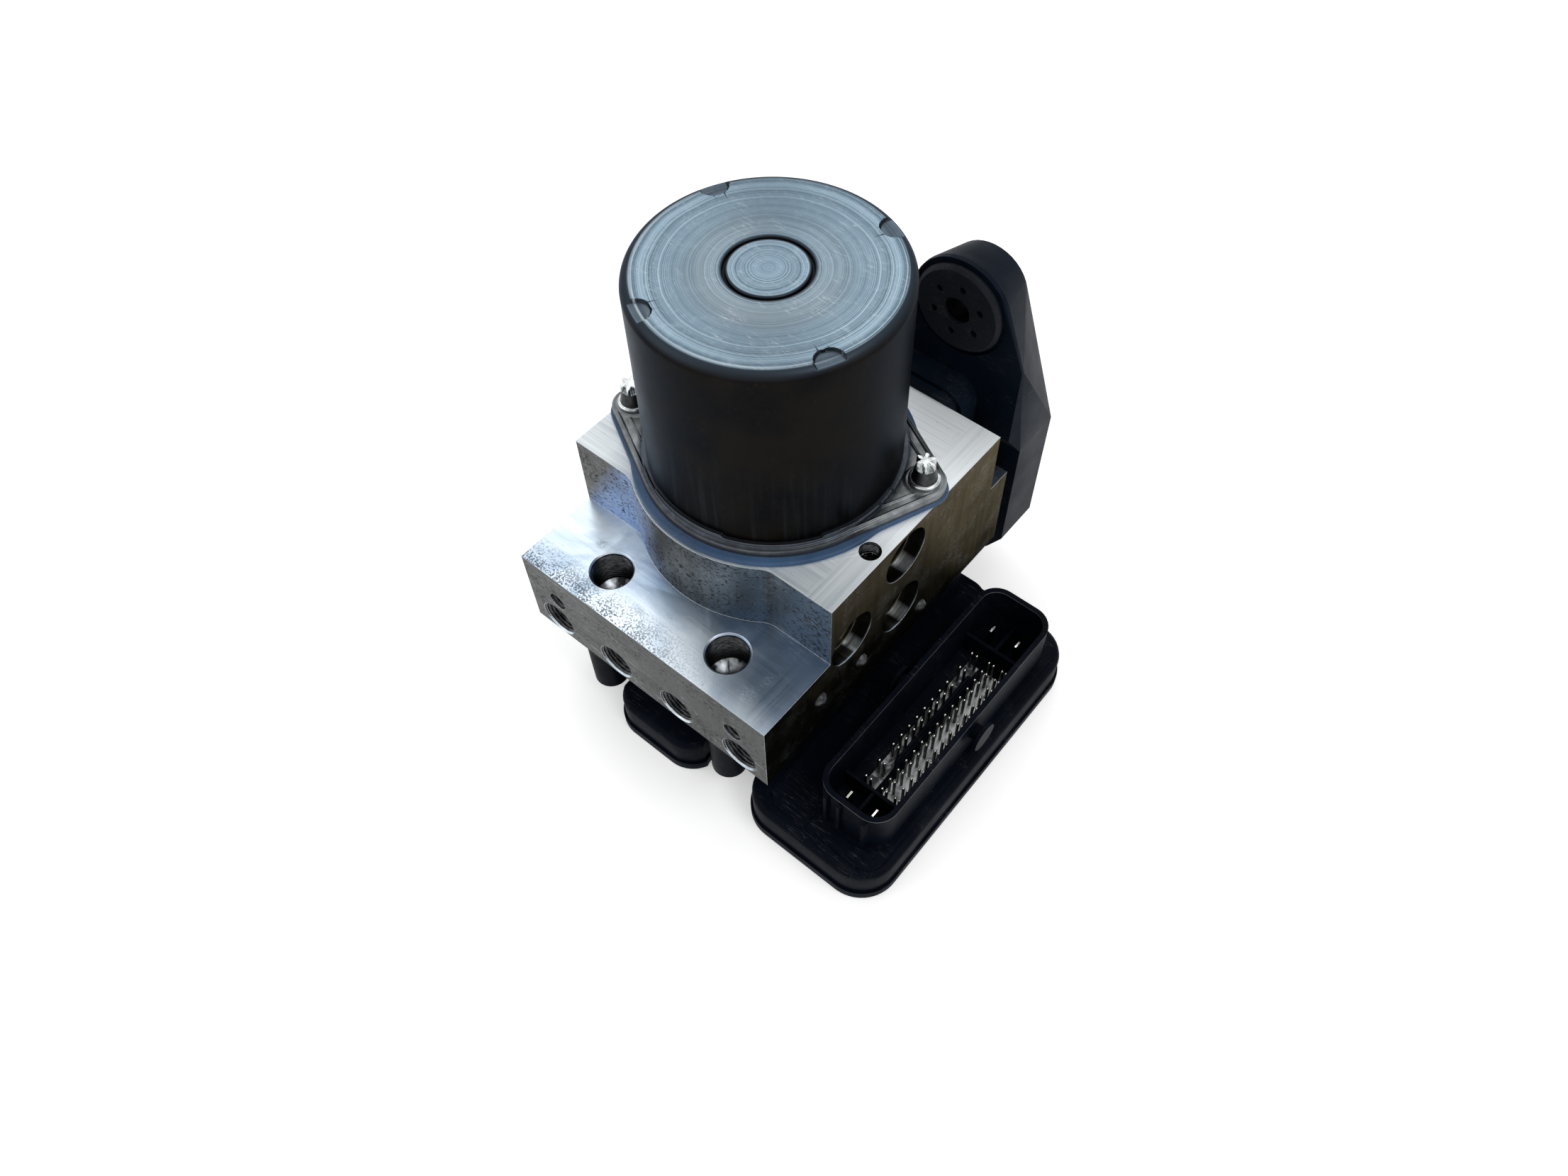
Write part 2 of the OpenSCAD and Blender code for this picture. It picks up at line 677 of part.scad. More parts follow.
// Insulating plate with two boxes that guide the brushes
module brush_plate() {
    color("saddlebrown") difference() {
        union() {
            rod_z(0, 0, flange_z1, flange_z1 + plate_t, can_r - can_wall - 0.3);
            for (s = [0, 180]) rotate([0, 0, s])
                translate([commutator_r + 1, -4.2, flange_z1]) cube([15.4, 8.4, brush_z - flange_z1 + 4]);
        }
        rod_z(0, 0, flange_z1 - 1, flange_z1 + plate_t + 1, cup_r + 0.3);
        for (s = [0, 180]) rotate([0, 0, s])
            translate([commutator_r, -3, brush_z - 2.8]) cube([14.4, 6, 5.6]);
        rod_z(0, contact_y, flange_z1 - 1, flange_z1 + plate_t + 1, contact_r + 0.1);
    }
}

module carbon_brushes() {
    color("dimgray") for (s = [0, 180]) rotate([0, 0, s])
        translate([commutator_r + 0.05, -2.95, brush_z - 2.75]) cube([9, 5.9, 5.5]);
}

module brush_springs() {
    color("silver") for (s = [0, 180]) rotate([0, 0, s])
        translate([commutator_r + 9.05, 0, brush_z]) rotate([0, 90, 0]) spring(2, 0.45, 5.35, 3);
}

// Insulated lead that runs from the circuit board through the block to the brushes
module motor_contact() {
    color("black") rod_z(0, contact_y, board_z + board_t, flange_z1 + plate_t, contact_r);
}

// Valve cartridge: stem in the block, collar against it and plunger tube below it
module valve(x, y) {
    rod_z(x, y, block_z0, block_z0 + valve_depth, valve_r);
    rod_z(x, y, block_z0 - 0.9, block_z0, valve_r + 1);
    rod_z(x, y, block_z0 - coil_h - 1.6, block_z0 - 0.8, stem_r);
    translate([x, y, block_z0 - coil_h - 1.6]) sphere(r = stem_r);
}
module inlet_valves() { color("lightgray") for (x = valve_x) valve(x, inlet_y); }
module outlet_valves() { color("lightgray") for (x = valve_x) valve(x, outlet_y); }
module circuit_valves() { color("lightgray") for (x = valve_x) valve(x, circuit_y); }

// Coil over each plunger tube, with two pins down to the circuit board
module valve_coils() {
    z1 = block_z0 - 0.9;
    color("darkorange") for (x = valve_x, y = [inlet_y, outlet_y, circuit_y]) difference() {
        union() {
            rod_z(x, y, z1 - coil_h, z1, coil_r);
            for (s = [-1, 1]) rod_z(x + s * 5.5, y, board_z + board_t, z1 - coil_h + 1, 0.5);
        }
        rod_z(x, y, z1 - coil_h - 1, z1 + 1, stem_r + 0.1);
    }
}

module pressure_sensor() {
    color("lightgray") {
        rod_z(0, sensor_y, block_z0, block_z0 + valve_depth, valve_r);
        rod_z(0, sensor_y, block_z0 - 2.5, block_z0, valve_r + 1);
        rod_z(0, sensor_y, board_z + board_t, block_z0 - 2, 3.4);
    }
}

// Outline of the box with bays for the screws, grown outwards by d
module box_plan(d) {
    difference() {
        union() {
            round_rect(conn_left - d, -box_front - d, box_right + d, box_back + d, box_corner + d);
            round_rect(-box_left - d, -side_front - d, conn_left + side_lap, box_back + d, side_corner + d);
            round_rect(-tongue_half - d, -box_front - d, tongue_half + d, 0, tongue_corner + d);
        }
        for (p = screw_points) translate(p) circle(r = screw_bay_r - d);
    }
}

module shroud_plan(d) {
    round_rect(shroud_cx - shroud_w / 2 - d, shroud_cy - shroud_l / 2 - d,
        shroud_cx + shroud_w / 2 + d, shroud_cy + shroud_l / 2 + d, 7.5 + d);
}

// Wall round the coils, between the box and the block
module chamber_plan(d) {
    round_rect(-box_left - d, -chamber_front - d, box_left + d, box_back + d, 5 + d);
}

// Raised field round the connector, higher on its right, with a ramp between
module plateau() {
    x0 = 44;
    x1 = box_right - 2.6;
    ramp = shroud_cx - 10;
    intersection() {
        translate([0, 0, shelf_z - 1]) linear_extrude(4)
            round_rect(x0, -box_front + 4, x1, box_back - 4, 6);
        extrude_y(-box_front, box_back)
            polygon([[x0, shelf_z - 1], [x0, low_plateau_z], [ramp - 1.5, low_plateau_z],
                [ramp + 0.5, plateau_z], [x1, plateau_z], [x1, shelf_z - 1]]);
    }
}

// Round stud with a wide head on each long wall of the shroud
module shroud_studs() {
    for (s = [-1, 1]) translate([shroud_cx, 0, 0]) scale([s, 1, 1]) {
        rod_x(shroud_w / 2 - 1, shroud_w / 2 + 3, shroud_cy + 1.5, shroud_top - 8, 2.6);
        rod_x(shroud_w / 2 + 2.7, shroud_w / 2 + 3.9, shroud_cy + 1.5, shroud_top - 8, 4.9);
    }
}

module shroud_inside() {
    wall = 1.1;
    x0 = shroud_cx - shroud_w / 2;
    end_bay_l = shroud_l / 2 - 1 - partition_dy;
    for (s = [-1, 1]) {
        translate([x0 + 0.5, shroud_cy + s * partition_dy - wall / 2, floor_z - 1])
            cube([shroud_w - 1, wall, partition_z - floor_z + 1]);
        translate([shroud_cx, shroud_cy + s * (end_bay_l / 2 + partition_dy), floor_z - 1])
            translate([-wall / 2, -end_bay_l / 2, 0]) cube([wall, end_bay_l, partition_z - floor_z]);
    }
}

module screw_bosses() {
    for (i = [0:3]) rod_z(screw_points[i][0], screw_points[i][1], boss_z0, block_z0, boss_r[i]);
}

module box_housing() {
    z0 = cover_t;
    color([0.12, 0.13, 0.15]) difference() {
        union() {
            translate([0, 0, z0]) linear_extrude(0.7) box_plan(lip);
            intersection() {
                union() {
                    soft_slab(conn_left, -box_front, box_right, box_back, box_corner, z0, shelf_z, 2);
                    soft_slab(-tongue_half, -box_front, tongue_half, 10, tongue_corner, z0, shelf_z, 2);
                    translate([0, 0, z0]) linear_extrude(shelf_z - z0)
                        round_rect(-box_left, -side_front, conn_left + side_lap, box_back, side_corner);
                }
                translate([0, 0, z0]) linear_extrude(shelf_z) box_plan(0);
            }
            translate([0, 0, shelf_z - roof_t]) linear_extrude(block_z0 - gasket_t - shelf_z + roof_t)
                chamber_plan(0);
            plateau();
            translate([0, 0, shelf_z - 1]) linear_extrude(plateau_z + 0.8 - shelf_z + 1) shroud_plan(1.4);
            translate([0, 0, floor_z - floor_t])
                linear_extrude(shroud_top - floor_z + floor_t) shroud_plan(0);
            for (x = shroud_rib_x) translate([x - 0.6, shroud_cy - shroud_l / 2 - 1.5, plateau_z])
                cube([1.2, 2, shroud_top - 1 - plateau_z]);
            shroud_studs();
            screw_bosses();
        }
        translate([0, 0, z0 - 1]) linear_extrude(shelf_z - roof_t - z0 + 1) box_plan(-box_wall);
        translate([0, 0, shelf_z - roof_t - 1]) linear_extrude(roof_t + 2) intersection() {
            chamber_plan(-box_wall);
            box_plan(-box_wall);
        }
        translate([0, 0, shelf_z]) linear_extrude(block_z0) chamber_plan(-box_wall);
        translate([0, 0, floor_z]) linear_extrude(shroud_top) shroud_plan(-shroud_wall);
        translate([shroud_cx - shroud_w / 2 + 2.4, shroud_cy - partition_dy + 0.8, floor_z - floor_t - 1])
            cube([shroud_w - 4.8, 2 * partition_dy - 1.6, floor_t + 2]);
        for (x = blade_x, y = blade_y) blade_slot(x, y, floor_z - floor_t - 1, floor_z + 1, 0.05);
        for (p = screw_points) {
            rod_z(p[0], p[1], boss_z0 - 1, block_z0 + 1, screw_r + 0.2);
            rod_z(p[0], p[1], boss_z0 - 1, boss_z0 + 5, 3.8);
        }
    }
    color([0.12, 0.13, 0.15]) {
        shroud_inside();
        for (p = [[50, -57], [82, -57], [82, 38], [50, 38]])
            rod_z(p[0], p[1], board_z + board_t, shelf_z - roof_t + 0.5, 2);
    }
}

blade_x = [shroud_cx - 4.8, shroud_cx + 4.8];
blade_y = [shroud_cy - 38, shroud_cy + 38];

module blade_slot(x, y, z0, z1, gap) {
    translate([x - 0.4 - gap, y - 1.4 - gap, z0]) cube([0.8 + 2 * gap, 2.8 + 2 * gap, z1 - z0]);
}

module box_cover() {
    color([0.14, 0.15, 0.17]) linear_extrude(cover_t) box_plan(lip);
}

module box_gasket() {
    color("dimgray") translate([0, 0, block_z0 - gasket_t]) linear_extrude(gasket_t) difference() {
        chamber_plan(-0.3);
        chamber_plan(-box_wall + 0.3);
        for (i = [0:3]) translate(screw_points[i]) circle(r = boss_r[i] + 0.1);
    }
}

module circuit_board() {
    color("darkgreen") translate([0, 0, board_z]) linear_extrude(board_t) box_plan(-box_wall - 1);
}

// Chips and capacitors on the underside of the board
module board_parts() {
    chips = [[-10, -20, 22, 22], [20, 5, 14, 14], [-32, 15, 12, 16], [62, 10, 10, 10]];
    color([0.1, 0.1, 0.1]) for (p = chips)
        translate([p[0] - p[2] / 2, p[1] - p[3] / 2, board_z - 2]) cube([p[2], p[3], 2]);
    color("gray") for (x = [60, 74]) rod_z(x, -40, cover_t + 0.5, board_z, 5);
}

// Four long columns of pins, and two short ones that leave out some places
module all_pins(r, z0, z1) {
    for (x = long_columns, s = long_steps) translate([x, pins_cy + s * pin_pitch, z0])
        cylinder(r = r, h = z1 - z0, $fn = 8);
    for (x = short_columns, s = short_steps) translate([x, pins_cy + s * pin_pitch, z0])
        cylinder(r = r, h = z1 - z0, $fn = 8);
}

module signal_pins() { color("silver") all_pins(pin_r, board_z + board_t, pin_tip); }

module power_blades() {
    color("silver") for (x = blade_x, y = blade_y) blade_slot(x, y, board_z + board_t, blade_tip, 0);
}

// Floor of the connector's middle part, with the long keying rib
module pin_carrier() {
    color([0.1, 0.1, 0.11]) difference() {
        union() {
            translate([shroud_cx - shroud_w / 2 + 2.45, shroud_cy - partition_dy + 0.85, floor_z - floor_t])
                cube([shroud_w - 4.9, 2 * partition_dy - 1.7, floor_t]);
            for (dx = [0, key_w - key_wall]) translate([key_x + dx, shroud_cy - key_l / 2, floor_z - 1])
                cube([key_wall, key_l, key_h + 1]);
            for (dy = [0, key_l - key_wall]) translate([key_x, shroud_cy - key_l / 2 + dy, floor_z - 1])
                cube([key_w, key_wall, key_h + 1]);
        }
        all_pins(pin_r + pin_gap, floor_z - floor_t - 1, floor_z + 1);
    }
}

// Pale sealing mats round the pin rows
module pin_mats() {
    half_l = long_steps[pin_count - 1] * pin_pitch + pin_r + 0.15;
    color("lightgray") difference() {
        for (x = [[short_columns[0] - 1.2, short_columns[1] + 1],
                  [long_columns[0] - 0.9, long_columns[3] + 1.4]])
            translate([x[0], pins_cy - half_l, floor_z]) cube([x[1] - x[0], 2 * half_l, mat_t]);
        all_pins(pin_r + pin_gap, floor_z - 1, floor_z + mat_t + 1);
    }
}

module box_screws() {
    color("silver") for (p = screw_points) translate([p[0], p[1], 0]) difference() {
        union() {
            rod_z(0, 0, boss_z0 + 5, screw_top, screw_r);
            rod_z(0, 0, boss_z0 + 1, boss_z0 + 5, 3.7);
        }
        translate([0, 0, boss_z0]) linear_extrude(3.4) {
            circle(r = 1.7);
            for (a = [0:60:300]) rotate([0, 0, a]) translate([1.7, 0]) circle(r = 0.5);
        }
    }
}

// One half of the arm: its flat front narrows towards the ridge behind the bush
module arm_half_body(z) {
    hull() {
        translate([0, arm_y, arm_z0]) cube([arm_half, 1, arm_z1 - arm_z0]);
        translate([0, skirt_y, skirt_z1 - 1]) cube([half_w, skirt_d, 1]);
        rod_y(bush_x, boss_y0, boss_y0 + 1.5, z, boss_front_r, $fn = 40);
        rod_y(bush_x, boss_y1 - 1, boss_y1, z, boss_back_r, $fn = 40);
    }
}

module bracket() {
    rib = 2.6;
    pockets = 6;
    pocket_w = (block_w - 8 - (pockets - 1) * rib) / pockets;
    color([0.13, 0.13, 0.14]) difference() {
        union() {
            arm_half_body(bush_z);
            mirror([1, 0, 0]) arm_half_body(bush_z - bush_drop);
            extrude_y(skirt_y, skirt_back) polygon([[-half_w, skirt_z0 + 9.5], [-half_w + 5, skirt_z0 + 1],
                [-half_w + 8, skirt_z0], [half_w - 8, skirt_z0], [half_w - 5, skirt_z0 + 1],
                [half_w, skirt_z0 + 9.5], [half_w, skirt_z1], [-half_w, skirt_z1]]);
            extrude_y(block_back + 2, arm_y + 1)
                round_rect(-pad_half, ledge_z + 1, pad_half, block_z1 + 4.1, 7);
            extrude_y(block_back, block_back + 3)
                round_rect(-pad_half + 1.4, ledge_z + 2.4, pad_half - 1.4, block_z1 + 2.7, 6);
        }
        for (b = bushes) {
            rod_y(b[0], arm_y - 1, boss_y0, b[1], bush_r + 1.1);
            rod_y(b[0], arm_y - 1, skirt_back + 1, b[1], bush_body_r + seat_gap);
        }
        for (s = [-1, 1]) {
            rod_y(s * bracket_bolt_x, block_back - 1, skirt_back + 1, bracket_bolt_z, bracket_bolt_r + 0.3);
            rod_y(s * bracket_bolt_x, bracket_head_y, skirt_back + 8, bracket_bolt_z, bracket_head_r + 0.6);
        }
        for (i = [0:pockets - 1]) translate([-half_w + 4 + i * (pocket_w + rib), skirt_y + 4, skirt_z0 + 11])
            cube([pocket_w, skirt_d, skirt_z1 - skirt_z0 - 14]);
    }
}

// Rubber bush with a bevelled front disc, a ring of holes and a hole for the sleeve
module bush() {
    color([0.16, 0.16, 0.17]) difference() {
        translate([bush_x, bush_y0, bush_z]) rotate([-90, 0, 0]) rotate_extrude()
            polygon([[0, 0], [bush_r - 1.1, 0], [bush_r, 1.1], [bush_r, boss_y0 - bush_y0],
                [bush_body_r, boss_y0 - bush_y0], [bush_body_r, boss_y1 - bush_y0], [0, boss_y1 - bush_y0]]);
        rod_y(bush_x, arm_y - 2, boss_y1 + 1, bush_z, bush_face_hole_r);
        rod_y(bush_x, arm_y + 0.6, boss_y1 + 1, bush_z, sleeve_r + seat_gap);
        for (a = [22:60:322]) translate([8.1 * cos(a), 0, 8.1 * sin(a)])
            rod_y(bush_x, arm_y - 2, arm_y + 5, bush_z, 1.15);
    }
}
module bush_right() { bush(); }
module bush_left() { translate([0, 0, -bush_drop]) mirror([1, 0, 0]) bush(); }

module bush_sleeves() {
    color("silver") for (b = bushes) difference() {
        rod_y(b[0], arm_y + 0.6, boss_y1 + 1, b[1], sleeve_r);
        rod_y(b[0], arm_y - 1, boss_y1 + 2, b[1], bush_hole_r);
    }
}

module bracket_bolts() {
    color("silver") for (s = [-1, 1]) {
        rod_y(s * bracket_bolt_x, block_back - bracket_bolt_in, bracket_head_y, bracket_bolt_z,
            bracket_bolt_r);
        translate([s * bracket_bolt_x, bracket_head_y + bracket_head_h, bracket_bolt_z]) rotate([90, 0, 0])
            cylinder(r = bracket_head_r, h = bracket_head_h, $fn = 6);
    }
}

valve_block();
ball_plugs();
pump_plugs();
accumulator_caps();
accumulator_piston_right();
accumulator_piston_left();
accumulator_spring_right();
accumulator_spring_left();
pump_piston_upper_right();
pump_piston_upper_left();
pump_piston_lower_right();
pump_piston_lower_left();
pump_spring_upper_right();
pump_spring_upper_left();
pump_spring_lower_right();
pump_spring_lower_left();
motor_can();
motor_flange();
motor_seal();
motor_bolts();
field_magnets();
motor_shaft();
eccentric_rings();
armature_core();
armature_windings();
commutator();
upper_bearing();
lower_bearing();
end_bearing();
brush_plate();
carbon_brushes();
brush_springs();
motor_contact();
inlet_valves();
outlet_valves();
circuit_valves();
valve_coils();
pressure_sensor();
box_housing();
box_cover();
box_gasket();
circuit_board();
board_parts();
signal_pins();
power_blades();
pin_carrier();
pin_mats();
box_screws();
bracket();
bush_right();
bush_left();
bush_sleeves();
bracket_bolts();
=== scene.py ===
# Looks for an anti-lock brake control unit: steel motor can, milled valve block, moulded box, cast bracket
import math
import bmesh
import bpy
import numpy as np
from mathutils import Matrix, Vector


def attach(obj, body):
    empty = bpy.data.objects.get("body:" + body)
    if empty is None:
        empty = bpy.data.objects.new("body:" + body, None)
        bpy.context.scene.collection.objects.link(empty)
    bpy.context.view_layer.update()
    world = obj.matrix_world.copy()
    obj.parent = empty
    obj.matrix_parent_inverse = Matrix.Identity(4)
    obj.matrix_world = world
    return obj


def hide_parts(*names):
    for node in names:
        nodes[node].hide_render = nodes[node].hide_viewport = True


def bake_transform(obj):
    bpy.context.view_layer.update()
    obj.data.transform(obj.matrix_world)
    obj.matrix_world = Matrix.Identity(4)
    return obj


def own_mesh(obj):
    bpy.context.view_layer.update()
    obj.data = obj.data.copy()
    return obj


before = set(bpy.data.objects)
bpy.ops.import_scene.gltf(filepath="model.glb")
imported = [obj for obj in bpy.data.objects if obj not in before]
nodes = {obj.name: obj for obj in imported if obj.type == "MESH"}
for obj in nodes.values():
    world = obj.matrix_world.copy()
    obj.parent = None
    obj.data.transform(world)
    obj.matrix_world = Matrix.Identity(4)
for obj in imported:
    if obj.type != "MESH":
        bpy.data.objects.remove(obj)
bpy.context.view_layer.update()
mm = 0.001
root = "housing"

scene = bpy.context.scene
scene.view_settings.view_transform = "Standard"
print("frame loaded:", len(nodes), "nodes")

# camera at the place it had when the picture was taken
cameraPlace = {
    "eye": (0.1551, -0.1742, 0.3588),
    "target": (0.0330, -0.0357, 0.0892),
    "roll": -0.034,      # radians
    "lens": 27.99,       # on the sensor below, in mm
    "sensor": 36.0,
    "clip": (0.01, 10.0),
}


def makeCamera(place):
    # The camera's axes come from the line to its target, then turn about it by the roll.
    data = bpy.data.cameras.new("camera")
    data.lens, data.sensor_width = place["lens"], place["sensor"]
    data.clip_start, data.clip_end = place["clip"]
    made = bpy.data.objects.new("camera", data)
    scene.collection.objects.link(made)
    eye, target = Vector(place["eye"]), Vector(place["target"])
    back = (eye - target).normalized()
    side = Vector((0, 0, 1)).cross(back).normalized()
    up = back.cross(side)
    c, s = math.cos(place["roll"]), math.sin(place["roll"])
    side, up = c * side + s * up, -s * side + c * up
    made.matrix_world = Matrix((
        (side.x, up.x, back.x, eye.x),
        (side.y, up.y, back.y, eye.y),
        (side.z, up.z, back.z, eye.z),
        (0, 0, 0, 1)))
    scene.camera = made


makeCamera(cameraPlace)


# short words for shader nodes: a socket knows its own tree, so only the first node of a tree names it
def feed(socket, value):
    # Links another node's socket, or sets a plain value. A colour of three numbers gets its alpha.
    if isinstance(value, bpy.types.NodeSocket):
        socket.id_data.links.new(value, socket)
    elif socket.type == "RGBA":
        socket.default_value = (*value, 1.0)
    else:
        socket.default_value = value


def node(tree, kind, inputs=None, **settings):
    # Adds one shader node. inputs maps a socket's name or number to a value or to another node's socket.
    made = tree.nodes.new(kind)
    for name, value in settings.items():
        setattr(made, name, value)
    for name, value in (inputs or {}).items():
        feed(made.inputs[name], value)
    return made


def treeOf(*values):
    return next(v.id_data for v in values if isinstance(v, bpy.types.NodeSocket))


def calc(operation, a, b=0.0, c=0.0):
    return node(treeOf(a, b, c), "ShaderNodeMath", {0: a, 1: b, 2: c}, operation=operation).outputs[0]


def chained(operation):
    # A Math node's operation for any number of values, taken one after the other.
    def run(first, *others):
        for value in others:
            first = calc(operation, first, value)
        return first
    return run


times, plus, most = [chained(operation) for operation in ("MULTIPLY", "ADD", "MAXIMUM")]


def less(a, b):
    return calc("SUBTRACT", a, b)


def unsigned(value):
    return calc("ABSOLUTE", value)


def clamped(value, low, high, toLow=0.0, toHigh=1.0):
    # Carries low..high of a value to toLow..toHigh, and holds it at the ends.
    made = node(value.id_data, "ShaderNodeMapRange", {0: value, 1: low, 2: high, 3: toLow, 4: toHigh})
    made.clamp = True
    return made.outputs[0]


def ramp(value, low, high, toLow=0.0, toHigh=1.0):
    # clamped(), with its bounds in millimetres
    return clamped(value, low * mm, high * mm, toLow, toHigh)


def band(value, rise, full, fall, end):
    # one between full and fall, nothing before rise and after end, in millimetres
    return times(ramp(value, rise, full), ramp(value, end, fall))


def blendValue(factor, a, b):
    return node(factor.id_data, "ShaderNodeMix", {0: factor, 2: a, 3: b}).outputs[0]


def blendColour(factor, a, b):
    return node(factor.id_data, "ShaderNodeMix", {0: factor, 6: a, 7: b}, data_type="RGBA").outputs[2]


def graded(value, low, high, dark, light):
    # from the dark to the light colour as a value goes from low to high
    return blendColour(clamped(value, low, high), dark, light)


def layered(base, *coats):
    # Lays coats over a base colour, each with how much of it there is and its colour.
    for amount, colour in coats:
        base = blendColour(amount, base, colour)
    return base


def noise(vector, scale, detail=3.0, roughness=0.55, distortion=0.0):
    made = node(vector.id_data, "ShaderNodeTexNoise", {
        "Vector": vector, "Scale": scale, "Detail": detail, "Roughness": roughness, "Distortion": distortion})
    return made.outputs["Fac"]


def stretched(vector, scale, turn=0.0):
    given = {"Vector": vector, "Scale": scale, "Rotation": (0, 0, turn)}
    return node(vector.id_data, "ShaderNodeMapping", given).outputs[0]


def axes(vector):
    return node(vector.id_data, "ShaderNodeSeparateXYZ", {0: vector}).outputs


def facing(tree, which="Normal"):
    # the three parts of the direction that the surface looks in
    return axes(node(tree, "ShaderNodeNewGeometry").outputs[which])


def lengthOf(a, b):
    flat = node(a.id_data, "ShaderNodeCombineXYZ", {0: a, 1: b}).outputs[0]
    return node(a.id_data, "ShaderNodeVectorMath", {0: flat}, operation="LENGTH").outputs["Value"]


def insideCircle(a, b, centre, radius):
    # one where (a, b) is nearer to the centre than the radius, both in millimetres
    return ramp(lengthOf(less(a, centre[0] * mm), less(b, centre[1] * mm)), radius, radius + 0.1, 1.0, 0.0)


def newMaterial(name, metallic=0.0, specular=0.5, tint=(1, 1, 1)):
    # A material with its Principled shader's inputs, and the object's own coordinates.
    made = bpy.data.materials.new(name)
    made.use_nodes = True
    shader = made.node_tree.nodes["Principled BSDF"].inputs
    feed(shader["Metallic"], metallic)
    feed(shader["Specular IOR Level"], specular)
    feed(shader["Specular Tint"], tint)
    return made, shader, node(made.node_tree, "ShaderNodeTexCoord").outputs["Object"]


def setLook(shader, base, rough, height=None, strength=0.0, depth=0.0):
    # Base colour, roughness and a bump, whose depth is in millimetres.
    feed(shader["Base Color"], base)
    feed(shader["Roughness"], rough)
    if height is not None:
        given = {"Height": height, "Strength": strength, "Distance": depth * mm}
        feed(shader["Normal"], node(height.id_data, "ShaderNodeBump", given).outputs[0])


# soft studio: one wide lamp behind and above, a fill at the front left, a smaller one above at the right
studio = {
    "background": (1.0, 1.0, 1.0),
    "ambient": 0.62,
    "floor": (0.93, 0.93, 0.93),
    "floorGlow": 0.33,   # lifts the floor to white for what looks at it, and lights nothing
    "floorHalf": 3.0,
    "floorDrop": 0.0002,
    "aim": (0.02, 0, 0.08),
    "lamps": [
        # name, place, watts, size
        ("sky", (-0.9, 1.1, 1.7), 14.0, 2.2),
        ("front", (-1.3, -1.4, 1.2), 8.0, 1.6),
        ("right", (1.1, 0.1, 1.7), 9.0, 0.8),
    ],
}


def seenPlainly(tree):
    # one for what the camera, mirror and glass rays see
    rays = node(tree, "ShaderNodeLightPath").outputs
    return most(rays["Is Camera Ray"], rays["Is Transmission Ray"], rays["Is Glossy Ray"])


def makeStage(settings):
    # World, floor and lamps. What the camera and glossy rays see of the world is plain white.
    world = bpy.data.worlds.new("studio")
    scene.world = world
    world.use_nodes = True
    tree = world.node_tree
    tree.nodes.clear()
    strength = clamped(seenPlainly(tree), 0.0, 1.0, settings["ambient"], 1.0)
    light = node(tree, "ShaderNodeBackground", {"Color": settings["background"], "Strength": strength})
    node(tree, "ShaderNodeOutputWorld", {"Surface": light.outputs[0]})

    half = settings["floorHalf"]
    corners = [(-half, -half, 0), (half, -half, 0), (half, half, 0), (-half, half, 0)]
    mesh = bpy.data.meshes.new("floor")
    mesh.from_pydata(corners, [], [(0, 1, 2, 3)])
    floor = bpy.data.objects.new("floor", mesh)
    scene.collection.objects.link(floor)
    material, shader, _ = newMaterial("paleFloor", specular=0.1)
    setLook(shader, settings["floor"], 0.9)
    feed(shader["Emission Color"], settings["background"])
    feed(shader["Emission Strength"], times(seenPlainly(material.node_tree), settings["floorGlow"]))
    floor.data.materials.append(material)
    floor.location.z = -settings["floorDrop"]

    for name, place, watts, size in settings["lamps"]:
        data = bpy.data.lights.new(name, "AREA")
        data.energy, data.size = watts, size
        lamp = bpy.data.objects.new(name, data)
        lamp.location = place
        lamp.rotation_mode = "QUATERNION"
        lamp.rotation_quaternion = (Vector(settings["aim"]) - Vector(place)).to_track_quat("-Z", "Y")
        scene.collection.objects.link(lamp)


makeStage(studio)
print("camera and studio ready")


def newGroup(name, outputs, **inputs):
    # A shader node group: it takes a vector and named numbers with their defaults, and puts out numbers.
    group = bpy.data.node_groups.new(name, "ShaderNodeTree")
    group.interface.new_socket("Vector", in_out="INPUT", socket_type="NodeSocketVector")
    for label, default in inputs.items():
        socket = group.interface.new_socket(label, in_out="INPUT", socket_type="NodeSocketFloat")
        socket.default_value = default
    for label in outputs:
        group.interface.new_socket(label, in_out="OUTPUT", socket_type="NodeSocketFloat")
    return group.nodes.new("NodeGroupInput").outputs, group.nodes.new("NodeGroupOutput")


def finishGroup(end, **results):
    for label, socket in results.items():
        feed(end.inputs[label], socket)
    return end.id_data


def useGroup(group, vector, **inputs):
    return node(vector.id_data, "ShaderNodeGroup", {"Vector": vector, **inputs}, node_tree=group).outputs


def makeCutterLines():
    # Fine parallel lines: noise pulled out a hundredfold along one direction, at two widths.
    given, end = newGroup("cutterLines", ["Value"])
    wide = noise(stretched(given["Vector"], (14, 900, 900)), 1.0, 2.0, 0.6)
    fine = noise(stretched(given["Vector"], (40, 3200, 3200)), 1.0, 2.0, 0.5)
    return finishGroup(end, Value=plus(times(fine, 0.45), times(wide, 0.55)))


def makeTurnedRings():
    # Rings round the Z axis: noise along the radius alone, wavered a little by noise in the plane.
    given, end = newGroup("turnedRings", ["Fine", "Broad", "Radius"])
    x, y, _ = axes(given["Vector"])
    radius = lengthOf(x, y)
    along = plus(radius, times(noise(given["Vector"], 60.0, 2.0), 1.2 * mm))
    fine, broad = [
        node(end.id_data, "ShaderNodeTexNoise", {"W": times(along, pace), "Scale": 1.0, "Detail": detail},
             noise_dimensions="1D").outputs["Fac"]
        for pace, detail in ((2600.0, 3.0), (420.0, 2.0))]
    return finishGroup(end, Fine=fine, Broad=broad, Radius=radius)


